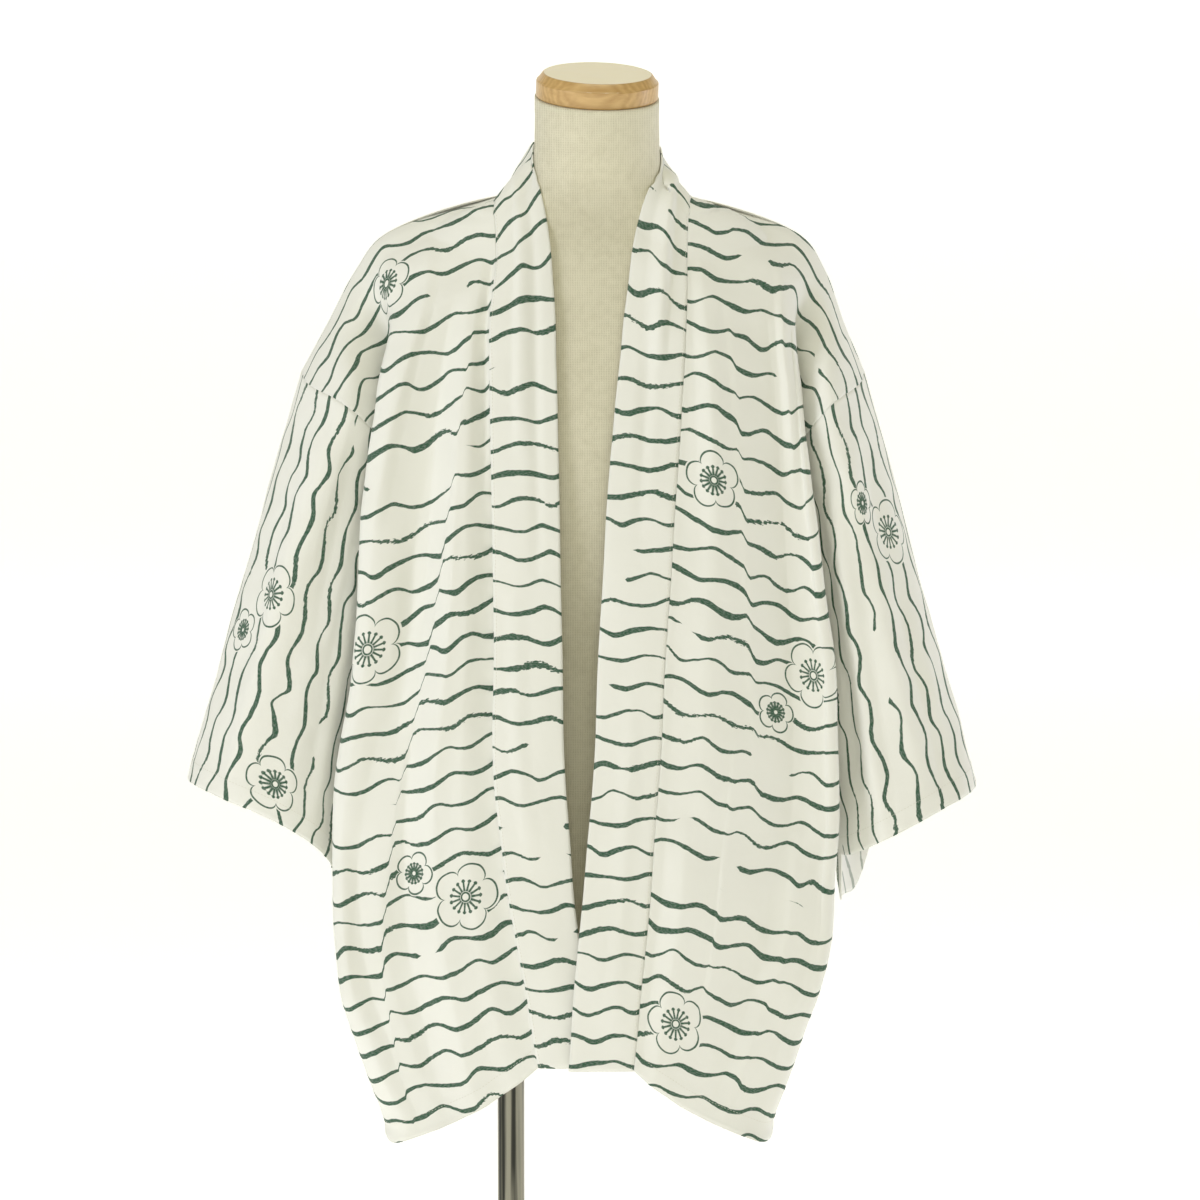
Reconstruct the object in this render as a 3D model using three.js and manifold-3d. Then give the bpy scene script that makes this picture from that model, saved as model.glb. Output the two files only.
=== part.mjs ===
// Happi coat of printed cotton, worn open on a limbless linen dress form that stands on an off-centre
// steel pole. Units are millimetres, +Z is up, the front of the coat faces -Y and the origin is on the
// floor under the middle of the form.
//
// Each cloth panel is a grid over its flat cut. `down` is the distance below the shoulder line and
// `across` goes from the collar seam (0) over the side fold (1) and the tuck behind it (2, 3) to the
// armhole or side seam (4); on the back it starts at the centre (-1). The tables say where the grain
// lines hang; their height follows from the length of the cloth.
import * as THREE from "three";
import Module from "manifold-3d";

const wasm = await Module();
wasm.setup();

// ---------------------------------------------------------------- driving sizes
const COAT = {
  armhole: 300, // shoulder line to underarm, half of the sleeve's opening
  wall: 1.4, // one layer of cloth
  collarWall: 2.4, // the collar is folded double
  shoulderZ: 1276, // top of the shoulder seam, at the neck
  tipZ: 1236, // where the shoulder line leaves the form
  sleeveTopZ: 1101, // upper end of the armhole seam
  neckDepth: 76, // from the shoulder line back to the centre of the neckline
  neckDrop: 8,
  neckCut: 55, // length of cloth that the back neckline takes
};
const HEM = { seam: 897, near: 921, fold: 937, tuck: 928, side: 912 }; // length of each grain line
// How far the edges of the pieces are drawn back from a seam.
const SEAM = { panel: 0.25, underarm: 2.3, collar: 0.3, turned: 0.9 };
const FORM_CLEARANCE = { cloth: 3.9, collar: 5.4 }; // from the middle of the cloth to the dress form
const POLE = { x: -87, y: 0, radius: 13.6, socket: 95, clearance: 0.35 };
const BASE = { radius: 190, thickness: 9, edge: 2.5, hub: 25, hubHeight: 30, gap: 0.35 };
const NECK = { lean: THREE.MathUtils.degToRad(14.3), roll: THREE.MathUtils.degToRad(1.8), gap: 0.35 };
const CAP = { radius: 60.3, top: 53.2, side: 16.8, height: 24.6, ease: 1.2 };
const CUFF = { squareness: 2.5, rise: 0.42, flap: 0.35 };
const COLOUR = { cloth: 0xe9e9dd, linen: 0xcdc7ac, wood: 0xd8a868, steel: 0xc4c7ca, plate: 0x8d9092 };
const GRID = {
  front: [7, 3, 3, 2], // steps across between the keyed grain lines
  neck: 5,
  armhole: 12, // rows down to the underarm
  lower: 10, // rows from there to the hem
  closer: 1.55, // how much closer together the rows are at the shoulder
  sleeve: 9, // rings along a sleeve
  collar: 3, // strips across the collar
  form: 40, // segments round the dress form
};

// ---------------------------------------------------------------- tables
// A table is a string of column names and one list per row.
function table(columns, ...rows) {
  const names = columns.split(" ");
  return rows.map((row) => Object.fromEntries(names.map((name, i) => [name, row[i]])));
}

// The dress form, ring by ring: half its width, its depth before and behind the axis, where the axis
// lies, and how much of the neck's lean the ring takes.
const FORM_RINGS = table(
  "z half front back axis lean",
  [470, 150, 88, 100, 0, 0],
  [478, 157, 93, 106, 0, 0],
  [500, 162, 96, 110, 0, 0],
  [570, 168, 99, 115, 0, 0],
  [660, 162, 96, 108, 0, 0],
  [760, 146, 92, 92, 0, 0],
  [860, 151, 99, 96, 0, 0],
  [960, 160, 108, 103, 0, 0],
  [1050, 169, 108, 108, 0, 0],
  [1120, 174, 98, 106, 0, 0],
  [1170, 177, 87, 99, 0, 0],
  [1200, 178, 79, 92, 0, 0],
  [1222, 176, 73, 85, 0, 0],
  [1238, 168, 67, 77, 0, 0],
  [1248, 155, 64, 71, 0, 0],
  [1256, 140, 62, 67, 0, 0],
  [1263, 120, 61, 65, 0, 0],
  [1270, 99, 60, 64, -1, 0],
  [1279, 79, 60, 64, -2, 0],
  [1292, 67, 60, 62, -5, 0.1],
  [1312, 62.8, 61.5, 62, -9, 0.4],
  [1342, 61.3, 61.3, 61.3, -15, 0.8],
  [1371, 61.3, 61.3, 61.3, -20, 1],
);
const FORM_SQUARENESS = 2.25;

// How far out (in x) the grain lines of the two fronts hang, wearer's right and left.
const REACH = {
  right: table(
    "down seam fold turn head side",
    [0, 93, 212, 239, 268, 294],
    [45, 97, 208, 229, 261, 284],
    [110, 99, 199, 203, 238, 250],
    [160, 104, 208, 196, 212, 225],
    [220, 104, 218.5, 199, 195, 206],
    [300, 102.5, 227, 212, 190, 186],
    [460, 100, 239.5, 231, 200, 182],
    [620, 99.5, 258, 252, 218, 190],
    [780, 77, 248, 247, 220, 192],
    [922, 52, 198, 211, 196, 180],
  ),
  left: table(
    "down seam fold turn head side",
    [0, 80, 202, 226, 246, 266],
    [45, 86, 190, 216, 240, 258],
    [110, 88, 191.5, 192, 222, 232],
    [160, 87, 197, 183, 199, 213],
    [220, 84, 205, 183, 182, 195],
    [300, 79, 214, 199, 176, 173],
    [460, 68.5, 231.5, 222, 190, 168],
    [620, 59.5, 235, 231, 202, 174],
    [780, 47, 214, 216, 196, 172],
    [922, 33, 162, 174, 166, 154],
  ),
};

// How far the same lines stand before the axis, and by how much the left front lies over the right.
const BEFORE = table(
  "down seam fold turn head side over",
  [0, 0, 0, 0, 0, 0, 0],
  [45, 38, 34, 30, 42, 43, 0],
  [110, 77, 70, 30, 74, 84, 0],
  [160, 97, 84, 28, 58, 76, 0],
  [220, 110, 92, 44, 34, 40, 0],
  [300, 119, 96, 60, 14, -12, 2],
  [460, 125, 98, 64, 16, -14, 5],
  [620, 128, 98, 64, 18, -14, 8],
  [780, 131, 100, 66, 20, -12, 9],
  [922, 132, 104, 70, 24, -10, 10],
);

// How far the lines of the back stand behind the axis; drop is the armhole seam below its upper end.
const BEHIND = table(
  "down centre blade fold turn head side drop",
  [0, 76, 0, 0, 0, 0, 0, 0],
  [45, 92, 40, 36, 34, 46, 48, 11],
  [110, 106, 84, 76, 44, 80, 90, 27],
  [160, 114, 102, 92, 40, 62, 80, 48],
  [220, 120, 113, 101, 56, 42, 50, 78],
  [300, 125, 119, 106, 74, 40, 12, 125],
  [460, 130, 125, 109, 80, 44, 14, 285],
  [620, 134, 130, 110, 82, 44, 14, 445],
  [780, 138, 134, 111, 84, 46, 12, 605],
  [922, 141, 137, 114, 88, 48, 10, 745],
);

// The free edge of the collar: how far out on the right and left, how far forward, and its rise above
// the seam. A minus sign takes it past the middle.
const COLLAR_EDGE = table(
  "down right left before rise leftRise",
  [0, 62.5, 58, 2, 52, 44],
  [45, 57, 51, 26, 46, 39],
  [110, 47, 37, 70, 37, 34],
  [160, 41, 28, 93, 15, 14],
  [220, 39, 21, 108, 5, 5],
  [300, 37, 13, 119, 1, 1],
  [460, 34, 3, 126, 0, 0],
  [620, 30, -4.5, 130, 0, 0],
  [780, 15, -19, 133, 0, 0],
  [922, -14, -30, 134, 0, 0],
);

// The open ends of the sleeves: the outer and inner edge, the height of each, the depth, how much higher
// the front layer hangs at the lower corner, and the shape in which it rises from there.
const CUFF_TABLE = table(
  "outer inner outerZ innerZ front back frontLift frontRise",
  [410, 264, 697, 591, 80, 78, 0, 0.42],
  [380, 246, 691, 570, 78, 78, 48, 0.9],
);
const CUFFS = { right: CUFF_TABLE[0], left: CUFF_TABLE[1] };

// Large folds of the fronts: where each starts and ends (across, down), how far it lifts the cloth and
// how wide it is on the collar's side and on the other.
const FOLDS = {
  right: table(
    "across down toAcross toDown lift near far",
    [0.12, 150, 0.66, 660, 9, 0.1, 0.42],
    [0.1, 500, 0.16, 760, 4, 0.1, 0.2],
  ),
  left: table(
    "across down toAcross toDown lift near far",
    [0.34, 210, 0.5, 620, 6, 0.22, 0.14],
    [0.42, 520, 0.3, 760, -7, 0.16, 0.2],
  ),
};

// ---------------------------------------------------------------- curves
// The value of a column at a distance, as a smooth curve through the rows.
function read(rows, column, at, by = "down") {
  const last = rows.length - 1;
  let i = 0;
  while (i < last - 1 && at > rows[i + 1][by]) i += 1;
  const slope = (k) => {
    const a = rows[Math.max(k - 1, 0)];
    const b = rows[Math.min(k + 1, last)];
    return (b[column] - a[column]) / (b[by] - a[by]);
  };
  const span = rows[i + 1][by] - rows[i][by];
  const t = THREE.MathUtils.clamp((at - rows[i][by]) / span, 0, 1);
  const fromStart = rows[i][column] + span * slope(i) * t * (1 - t);
  const fromEnd = rows[i + 1][column] - span * slope(i + 1) * t * (1 - t);
  return THREE.MathUtils.lerp(fromStart, fromEnd, t * t * (3 - 2 * t));
}

// Heights along a hanging line of fixed length, from its plan position at each distance down.
function hang(startDown, startZ, plan) {
  const step = 5;
  const heights = [startZ];
  let before = plan(startDown);
  for (let down = startDown + step; down <= HEM.fold + step; down += step) {
    const now = plan(down);
    const sideways = Math.hypot(now[0] - before[0], now[1] - before[1]);
    const fall = Math.sqrt(Math.max(step ** 2 - sideways ** 2, (step * 0.3) ** 2));
    heights.push(heights[heights.length - 1] - fall);
    before = now;
  }
  return (down) => {
    const place = Math.max(down - startDown, 0) / step;
    const i = Math.min(Math.floor(place), heights.length - 2);
    return THREE.MathUtils.lerp(heights[i], heights[i + 1], place - i);
  };
}

function through(points, key) {
  const curve = new THREE.CatmullRomCurve3(points, false, "centripetal");
  return curve.getPoint(THREE.MathUtils.clamp(key / (points.length - 1), 0, 1));
}

function smooth(t) {
  const c = THREE.MathUtils.clamp(t, 0, 1);
  return c * c * (3 - 2 * c);
}

// ---------------------------------------------------------------- the dress form's surface
// Below 1 inside the form, above 1 outside.
function formMeasure(p) {
  if (p.z > FORM_RINGS[FORM_RINGS.length - 1].z + 30) return 9;
  const y = p.y - read(FORM_RINGS, "axis", p.z, "z");
  const depth = read(FORM_RINGS, y < 0 ? "front" : "back", p.z, "z");
  const half = read(FORM_RINGS, "half", p.z, "z");
  const sum = Math.abs(p.x / half) ** FORM_SQUARENESS + Math.abs(y / depth) ** FORM_SQUARENESS;
  return sum ** (1 / FORM_SQUARENESS);
}

// Moves a point out until it is the given distance from the form.
function settle(point, clearance) {
  const p = point.clone();
  const probe = 0.5;
  for (let turn = 0; turn < 40; turn += 1) {
    const here = formMeasure(p);
    if (here > 1.6) return p;
    const rise = new THREE.Vector3(
      formMeasure(p.clone().setX(p.x + probe)) - here,
      formMeasure(p.clone().setY(p.y + probe)) - here,
      formMeasure(p.clone().setZ(p.z + probe)) - here,
    ).divideScalar(probe);
    const steepness = rise.length();
    const distance = (here - 1) / steepness;
    if (distance >= clearance) return p;
    p.addScaledVector(rise, (clearance - distance) / steepness);
  }
  return p;
}

// ---------------------------------------------------------------- where the cloth hangs
const SIGN = { right: -1, left: 1 };

function hemLength(across) {
  const { seam, near, fold, tuck, side } = HEM;
  const rows = table("across length", [0, seam], [0.35, near], [1, fold], [2, tuck], [4, side]);
  return read(rows, "length", Math.max(across, 0), "across");
}

// Plan positions and heights of one side's keyed grain lines, front or back.
function grainLines(side, face) {
  const sign = SIGN[side];
  const reach = REACH[side];
  const front = face === "front";
  const rows = front ? BEFORE : BEHIND;
  const away = front ? -1 : 1;
  const over = (down) => (front && side === "left" ? read(BEFORE, "over", down) : 0);
  const plan = (xKey, yKey) => (down) => {
    const share = yKey === "seam" ? 1 : yKey === "fold" ? 0.6 : 0;
    return [sign * read(reach, xKey, down), away * (read(rows, yKey, down) + over(down) * share)];
  };
  const sidePlan = (down) => {
    if (down > COAT.armhole) {
      return [sign * read(reach.slice(5), "side", down), read(BEHIND.slice(5), "side", down)];
    }
    return [sign * read(reach.slice(0, 6), "side", down), away * read(rows.slice(0, 6), "side", down)];
  };
  const first = plan("seam", front ? "seam" : "blade");
  const fold = plan("fold", "fold");
  const firstZ = hang(0, COAT.shoulderZ, first);
  const foldZ = hang(0, COAT.tipZ, fold);
  const sideZ = (down) => COAT.sleeveTopZ - read(BEHIND, "drop", down);
  const centre = (down) => [0, read(BEHIND, "centre", down)];
  const centreZ = hang(COAT.neckCut, COAT.shoulderZ - COAT.neckDrop, centre);
  const at = (line, z) => (down) => new THREE.Vector3(...line(down), z(down));
  const between = (share) => (down) => THREE.MathUtils.lerp(foldZ(down), sideZ(down), share);
  const lines = [
    at(first, firstZ),
    at(fold, foldZ),
    at(plan("turn", "turn"), between(0.25)),
    at(plan("head", "head"), between(0.65)),
    at(sidePlan, sideZ),
  ];
  return front ? lines : [at(centre, centreZ), ...lines];
}

const LINES = {
  right: { front: grainLines("right", "front"), back: grainLines("right", "back") },
  left: { front: grainLines("left", "front"), back: grainLines("left", "back") },
};

function foldLift(side, across, down) {
  let lift = 0;
  for (const fold of FOLDS[side]) {
    const t = (down - fold.down) / (fold.toDown - fold.down);
    if (t < 0 || t > 1) continue;
    const offset = across - THREE.MathUtils.lerp(fold.across, fold.toAcross, t);
    const width = offset < 0 ? fold.near : fold.far;
    lift += fold.lift * Math.sin(Math.PI * t) ** 0.7 * smooth(1 - Math.abs(offset) / width);
  }
  return lift;
}

function frontPoint(side, across, down) {
  const keys = LINES[side].front.map((line) => line(down));
  const p = through(keys, across);
  p.y -= foldLift(side, across, down);
  return p;
}

function neckline(side, across) {
  const turn = (-across * Math.PI) / 2;
  return new THREE.Vector3(
    SIGN[side] * REACH[side][0].seam * Math.cos(turn),
    COAT.neckDepth * Math.sin(turn),
    COAT.shoulderZ - COAT.neckDrop * Math.sin(turn),
  );
}

function backPoint(side, across, down) {
  const keys = LINES[side].back.map((line) => line(down));
  return through(keys, across + 1);
}

// A point of the back with the neckline cut out: `fall` is the share of the way to the hem.
function cutBackPoint(side, across, down) {
  if (across >= 0) return backPoint(side, across, down);
  const start = COAT.neckCut * Math.sin((-across * Math.PI) / 2);
  const lower = start + down * (1 - start / hemLength(0));
  const p = backPoint(side, across, lower);
  const miss = neckline(side, across).sub(backPoint(side, across, start));
  return p.addScaledVector(miss, 1 - smooth(down / 110));
}

// ---------------------------------------------------------------- grids of cloth
function acrossSteps() {
  const steps = [0];
  GRID.front.forEach((count, key) => {
    for (let i = 1; i <= count; i += 1) steps.push(key + i / count);
  });
  return steps;
}

function downAt(row, across) {
  if (row <= GRID.armhole) return COAT.armhole * (row / GRID.armhole) ** GRID.closer;
  const share = (row - GRID.armhole) / GRID.lower;
  return COAT.armhole + (hemLength(across) - COAT.armhole) * share;
}

function gridOf(rows, columns, point) {
  return Array.from({ length: rows }, (_, r) => Array.from({ length: columns }, (_, c) => point(r, c)));
}

const ROWS = GRID.armhole + GRID.lower + 1;

function frontGrid(side) {
  const steps = acrossSteps();
  return gridOf(ROWS, steps.length, (r, c) => {
    return settle(frontPoint(side, steps[c], downAt(r, steps[c])), FORM_CLEARANCE.cloth);
  });
}

// Columns run from the left side seam over the centre to the right one.
function backGrid(fronts) {
  const steps = acrossSteps();
  const half = [];
  for (let i = 0; i < GRID.neck; i += 1) half.push(i / GRID.neck - 1);
  half.push(...steps);
  const columns = half.map((across) => ["left", across]).reverse();
  columns.push(...half.slice(1).map((across) => ["right", across]));
  return gridOf(ROWS, columns.length, (r, c) => {
    const [side, across] = columns[c];
    if (r === 0 && across >= 0) return fronts[side][0][steps.indexOf(across)].clone();
    return settle(cutBackPoint(side, across, downAt(r, across)), FORM_CLEARANCE.cloth);
  });
}

// A point on the open end of a sleeve, from its top fold (0) round the front to the top again (1).
function cuffPoint(side, round) {
  const cuff = CUFFS[side];
  const angle = round * 2 * Math.PI;
  const power = 2 / CUFF.squareness;
  const bend = (v) => Math.sign(v) * Math.abs(v) ** power;
  const middle = (cuff.outer + cuff.inner) / 2;
  const x = middle + ((cuff.outer - cuff.inner) / 2) * bend(Math.cos(angle));
  const y = -bend(Math.sin(angle)) * (Math.sin(angle) > 0 ? cuff.front : cuff.back);
  const share = (x - cuff.inner) / (cuff.outer - cuff.inner);
  const inFront = Math.sin(angle) > 0.02;
  const start = cuff.innerZ + (inFront ? cuff.frontLift : 0);
  let rise = share ** (inFront ? cuff.frontRise : CUFF.rise);
  if (!inFront && cuff.frontLift > 0) rise *= smooth((share - 0.08) / (CUFF.flap - 0.08));
  return new THREE.Vector3(SIGN[side] * x, y, THREE.MathUtils.lerp(start, cuff.outerZ, rise));
}

// Rings from the armhole to the cuff; the first ring is the armhole edge of the front and the back.
function sleeveGrid(side, front, back) {
  const n = GRID.armhole;
  const backColumn = side === "left" ? 0 : back[0].length - 1;
  const armhole = [];
  const round = [];
  for (let i = 0; i <= n; i += 1) {
    armhole.push(front[i][front[0].length - 1]);
    round.push(downAt(i, 4) / COAT.armhole / 2);
  }
  for (let i = n - 1; i > 0; i -= 1) {
    armhole.push(back[i][backColumn]);
    round.push(1 - downAt(i, 4) / COAT.armhole / 2);
  }
  return gridOf(GRID.sleeve + 1, armhole.length, (r, c) => {
    return armhole[c].clone().lerp(cuffPoint(side, round[c]), r / GRID.sleeve);
  });
}

// The collar's rows go from the right front's hem up round the neck and down to the left one's.
function collarGrid(fronts, back) {
  const rows = [];
  const strip = (seam, free) => {
    const row = [];
    for (let i = 0; i <= GRID.collar; i += 1) {
      row.push(settle(seam.clone().lerp(free, i / GRID.collar), FORM_CLEARANCE.collar));
    }
    return row;
  };
  const frontStrip = (side, r) => {
    const down = downAt(r, 0);
    const seam = fronts[side][r][0];
    const over = side === "left" ? read(BEFORE, "over", down) : 0;
    const y = -read(COLLAR_EDGE, "before", down) - over;
    const z = seam.z + read(COLLAR_EDGE, side === "left" ? "leftRise" : "rise", down);
    return strip(seam, new THREE.Vector3(SIGN[side] * read(COLLAR_EDGE, side, down), y, z));
  };
  const neckStrip = (column) => {
    const seam = back[0][column];
    const side = seam.x < 0 ? "right" : "left";
    const turn = Math.acos(THREE.MathUtils.clamp(Math.abs(seam.x) / REACH[side][0].seam, 0, 1));
    const edge = COLLAR_EDGE[0];
    const x = SIGN[side] * edge[side] * Math.cos(turn);
    const y = -edge.before + 66 * Math.sin(turn);
    const rise = THREE.MathUtils.lerp(side === "left" ? edge.leftRise : edge.rise, edge.rise, Math.sin(turn));
    return strip(seam, new THREE.Vector3(x, y, COAT.shoulderZ + rise + 2 * Math.sin(turn)));
  };
  for (let r = ROWS - 1; r >= 0; r -= 1) rows.push(frontStrip("right", r));
  const middle = (back[0].length - 1) / 2;
  for (let i = GRID.neck - 1; i > -GRID.neck; i -= 1) rows.push(neckStrip(middle + i));
  for (let r = 0; r < ROWS; r += 1) rows.push(frontStrip("left", r));
  return rows;
}

// ---------------------------------------------------------------- walls of cloth
function positionKey(p) {
  return [p.x, p.y, p.z].map((v) => Math.round(v * 50)).join();
}

// Adds each face's normal to the points it touches, so panels that meet share the mitre.
function gatherNormals(grid, turned, closed, sums) {
  const columns = grid[0].length;
  const across = closed ? columns : columns - 1;
  for (let r = 0; r < grid.length - 1; r += 1) {
    for (let c = 0; c < across; c += 1) {
      const a = grid[r][c];
      const b = grid[r][(c + 1) % columns];
      const d = grid[r + 1][c];
      const e = grid[r + 1][(c + 1) % columns];
      const normal = e.clone().sub(a).cross(d.clone().sub(b)).multiplyScalar(turned ? -1 : 1);
      for (const p of [a, b, d, e]) {
        const key = positionKey(p);
        if (!sums.has(key)) sums.set(key, new THREE.Vector3());
        sums.get(key).add(normal);
      }
    }
  }
}

function normalsOf(grid, sums) {
  return grid.map((row) => row.map((p) => sums.get(positionKey(p)).clone().normalize()));
}

// Draws the chosen edges of a grid back from their seam lines.
function drawBack(grid, edges) {
  const out = grid.map((row) => row.map((p) => p.clone()));
  const pull = (r, c, toR, toC, distance) => {
    const way = grid[toR][toC].clone().sub(grid[r][c]).normalize();
    out[r][c].addScaledVector(way, distance);
  };
  const lastRow = grid.length - 1;
  const lastColumn = grid[0].length - 1;
  for (let c = 0; c <= lastColumn; c += 1) {
    if (edges.top) pull(0, c, 1, c, edges.top + (edges.extra ? edges.extra[c] : 0));
    if (edges.bottom) pull(lastRow, c, lastRow - 1, c, edges.bottom);
  }
  for (let r = 0; r <= lastRow; r += 1) {
    if (edges.first) pull(r, 0, r, 1, edges.first);
    if (edges.last) pull(r, lastColumn, r, lastColumn - 1, edges.last);
  }
  return out;
}

// A closed wall on both sides of a grid. A grid closed across becomes a tube.
function wallGeometry(grid, normals, wall, closed) {
  const rows = grid.length;
  const columns = grid[0].length;
  const count = rows * columns;
  const positions = [];
  for (const side of [1, -1]) {
    grid.forEach((row, r) => {
      row.forEach((p, c) => {
        const q = p.clone().addScaledVector(normals[r][c], (side * wall) / 2);
        positions.push(q.x, q.y, q.z);
      });
    });
  }
  const indices = [];
  const quad = (a, b, c, d) => indices.push(a, b, c, a, c, d);
  const id = (r, c, inner) => (inner ? count : 0) + r * columns + (c % columns);
  const across = closed ? columns : columns - 1;
  for (let r = 0; r < rows - 1; r += 1) {
    for (let c = 0; c < across; c += 1) {
      quad(id(r, c), id(r + 1, c), id(r + 1, c + 1), id(r, c + 1));
      quad(id(r, c, true), id(r, c + 1, true), id(r + 1, c + 1, true), id(r + 1, c, true));
    }
  }
  for (let c = 0; c < across; c += 1) {
    quad(id(0, c), id(0, c + 1), id(0, c + 1, true), id(0, c, true));
    quad(id(rows - 1, c + 1), id(rows - 1, c), id(rows - 1, c, true), id(rows - 1, c + 1, true));
  }
  if (!closed) {
    for (let r = 0; r < rows - 1; r += 1) {
      quad(id(r + 1, 0), id(r, 0), id(r, 0, true), id(r + 1, 0, true));
      quad(id(r, across), id(r + 1, across), id(r + 1, across, true), id(r, across, true));
    }
  }
  return closedGeometry(positions, indices);
}

// An indexed geometry with its faces turned outward.
function closedGeometry(positions, indices) {
  const at = (i) => new THREE.Vector3(...positions.slice(i * 3, i * 3 + 3));
  let volume = 0;
  for (let i = 0; i < indices.length; i += 3) {
    volume += at(indices[i]).dot(at(indices[i + 1]).cross(at(indices[i + 2])));
  }
  if (volume < 0) indices.reverse();
  const geometry = new THREE.BufferGeometry();
  geometry.setAttribute("position", new THREE.Float32BufferAttribute(positions, 3));
  geometry.setIndex(indices);
  geometry.computeVertexNormals();
  return geometry;
}

// ---------------------------------------------------------------- the dress form and its stand
function formPoint(ring, angle) {
  const power = 2 / FORM_SQUARENESS;
  const bend = (v) => Math.sign(v) * Math.abs(v) ** power;
  const depth = Math.sin(angle) < 0 ? ring.front : ring.back;
  const y = depth * bend(Math.sin(angle));
  const x = ring.half * bend(Math.cos(angle));
  const z = ring.z + (y * Math.tan(NECK.lean) - x * Math.tan(NECK.roll)) * ring.lean;
  return [x, ring.axis + y, z];
}

function torsoGeometry() {
  const positions = [];
  const indices = [];
  const n = GRID.form;
  for (const ring of FORM_RINGS) {
    for (let i = 0; i < n; i += 1) positions.push(...formPoint(ring, (i / n) * 2 * Math.PI));
  }
  const last = FORM_RINGS.length - 1;
  for (let r = 0; r < last; r += 1) {
    for (let i = 0; i < n; i += 1) {
      const j = (i + 1) % n;
      indices.push(r * n + i, r * n + j, (r + 1) * n + j, r * n + i, (r + 1) * n + j, (r + 1) * n + i);
    }
  }
  const foot = positions.length / 3;
  positions.push(0, FORM_RINGS[0].axis, FORM_RINGS[0].z);
  positions.push(0, FORM_RINGS[last].axis, FORM_RINGS[last].z);
  for (let i = 0; i < n; i += 1) {
    const j = (i + 1) % n;
    indices.push(foot, j, i);
    indices.push(foot + 1, last * n + i, last * n + j);
  }
  return cutSocket(closedGeometry(positions, indices));
}

function toManifold(geometry) {
  const mesh = new wasm.Mesh({
    numProp: 3,
    vertProperties: new Float32Array(geometry.attributes.position.array),
    triVerts: new Uint32Array(geometry.index.array),
  });
  return new wasm.Manifold(mesh);
}

// The hole in the underside that the pole stands in.
function cutSocket(geometry) {
  const radius = POLE.radius + POLE.clearance;
  const depth = POLE.socket + POLE.clearance;
  const underside = FORM_RINGS[0].z;
  const place = [POLE.x, POLE.y, underside - 10];
  const drill = wasm.Manifold.cylinder(depth + 10, radius, radius, 32).translate(place);
  const mesh = toManifold(geometry).subtract(drill).getMesh();
  const out = new THREE.BufferGeometry();
  out.setAttribute("position", new THREE.BufferAttribute(mesh.vertProperties, 3));
  out.setIndex(new THREE.BufferAttribute(mesh.triVerts, 1));
  out.computeVertexNormals();
  return out;
}

function capGeometry() {
  const profile = [
    [0, 0],
    [CAP.radius - CAP.ease, 0],
    [CAP.radius, CAP.ease],
    [CAP.radius, CAP.side],
    [CAP.radius - 0.6, CAP.side + 1.2],
    [CAP.top + CAP.ease, CAP.height - 0.8],
    [CAP.top, CAP.height],
    [0, CAP.height],
  ];
  const top = FORM_RINGS[FORM_RINGS.length - 1];
  const geometry = new THREE.LatheGeometry(profile.map(([r, z]) => new THREE.Vector2(r, z)), 48);
  geometry.rotateX(Math.PI / 2);
  geometry.translate(0, 0, NECK.gap);
  geometry.rotateX(NECK.lean);
  geometry.rotateY(NECK.roll);
  geometry.translate(0, top.axis, top.z);
  return geometry;
}

function poleGeometry() {
  const bottom = BASE.thickness + 4;
  const top = FORM_RINGS[0].z + POLE.socket;
  const geometry = new THREE.CylinderGeometry(POLE.radius, POLE.radius, top - bottom, 32);
  geometry.rotateX(Math.PI / 2);
  geometry.translate(POLE.x, POLE.y, (top + bottom) / 2);
  return geometry;
}

// A round plate with a hub; the pole stands in a blind hole of the hub.
function baseGeometry() {
  const { radius, thickness, edge, hub, hubHeight } = BASE;
  const steps = 64;
  const plate = wasm.Manifold.cylinder(thickness - edge, radius, radius, steps);
  const lower = thickness - edge;
  const bevel = wasm.Manifold.cylinder(edge, radius, radius - edge, steps).translate([0, 0, lower]);
  const place = [POLE.x, POLE.y, thickness - 1];
  const boss = wasm.Manifold.cylinder(hubHeight + 1, hub, hub - 3, 32).translate(place);
  const bore = POLE.radius + BASE.gap;
  const foot = [POLE.x, POLE.y, thickness + 4 - BASE.gap];
  const drill = wasm.Manifold.cylinder(80, bore, bore, 32).translate(foot);
  const mesh = plate.add(bevel).add(boss).subtract(drill).getMesh();
  const out = new THREE.BufferGeometry();
  out.setAttribute("position", new THREE.BufferAttribute(mesh.vertProperties, 3));
  out.setIndex(new THREE.BufferAttribute(mesh.triVerts, 1));
  out.computeVertexNormals();
  return out;
}

// ---------------------------------------------------------------- the whole
function addPiece(group, name, geometry, color, roughness, metalness) {
  const material = new THREE.MeshStandardMaterial({ color, roughness, metalness });
  const mesh = new THREE.Mesh(geometry, material);
  mesh.name = name;
  group.add(mesh);
}

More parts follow.
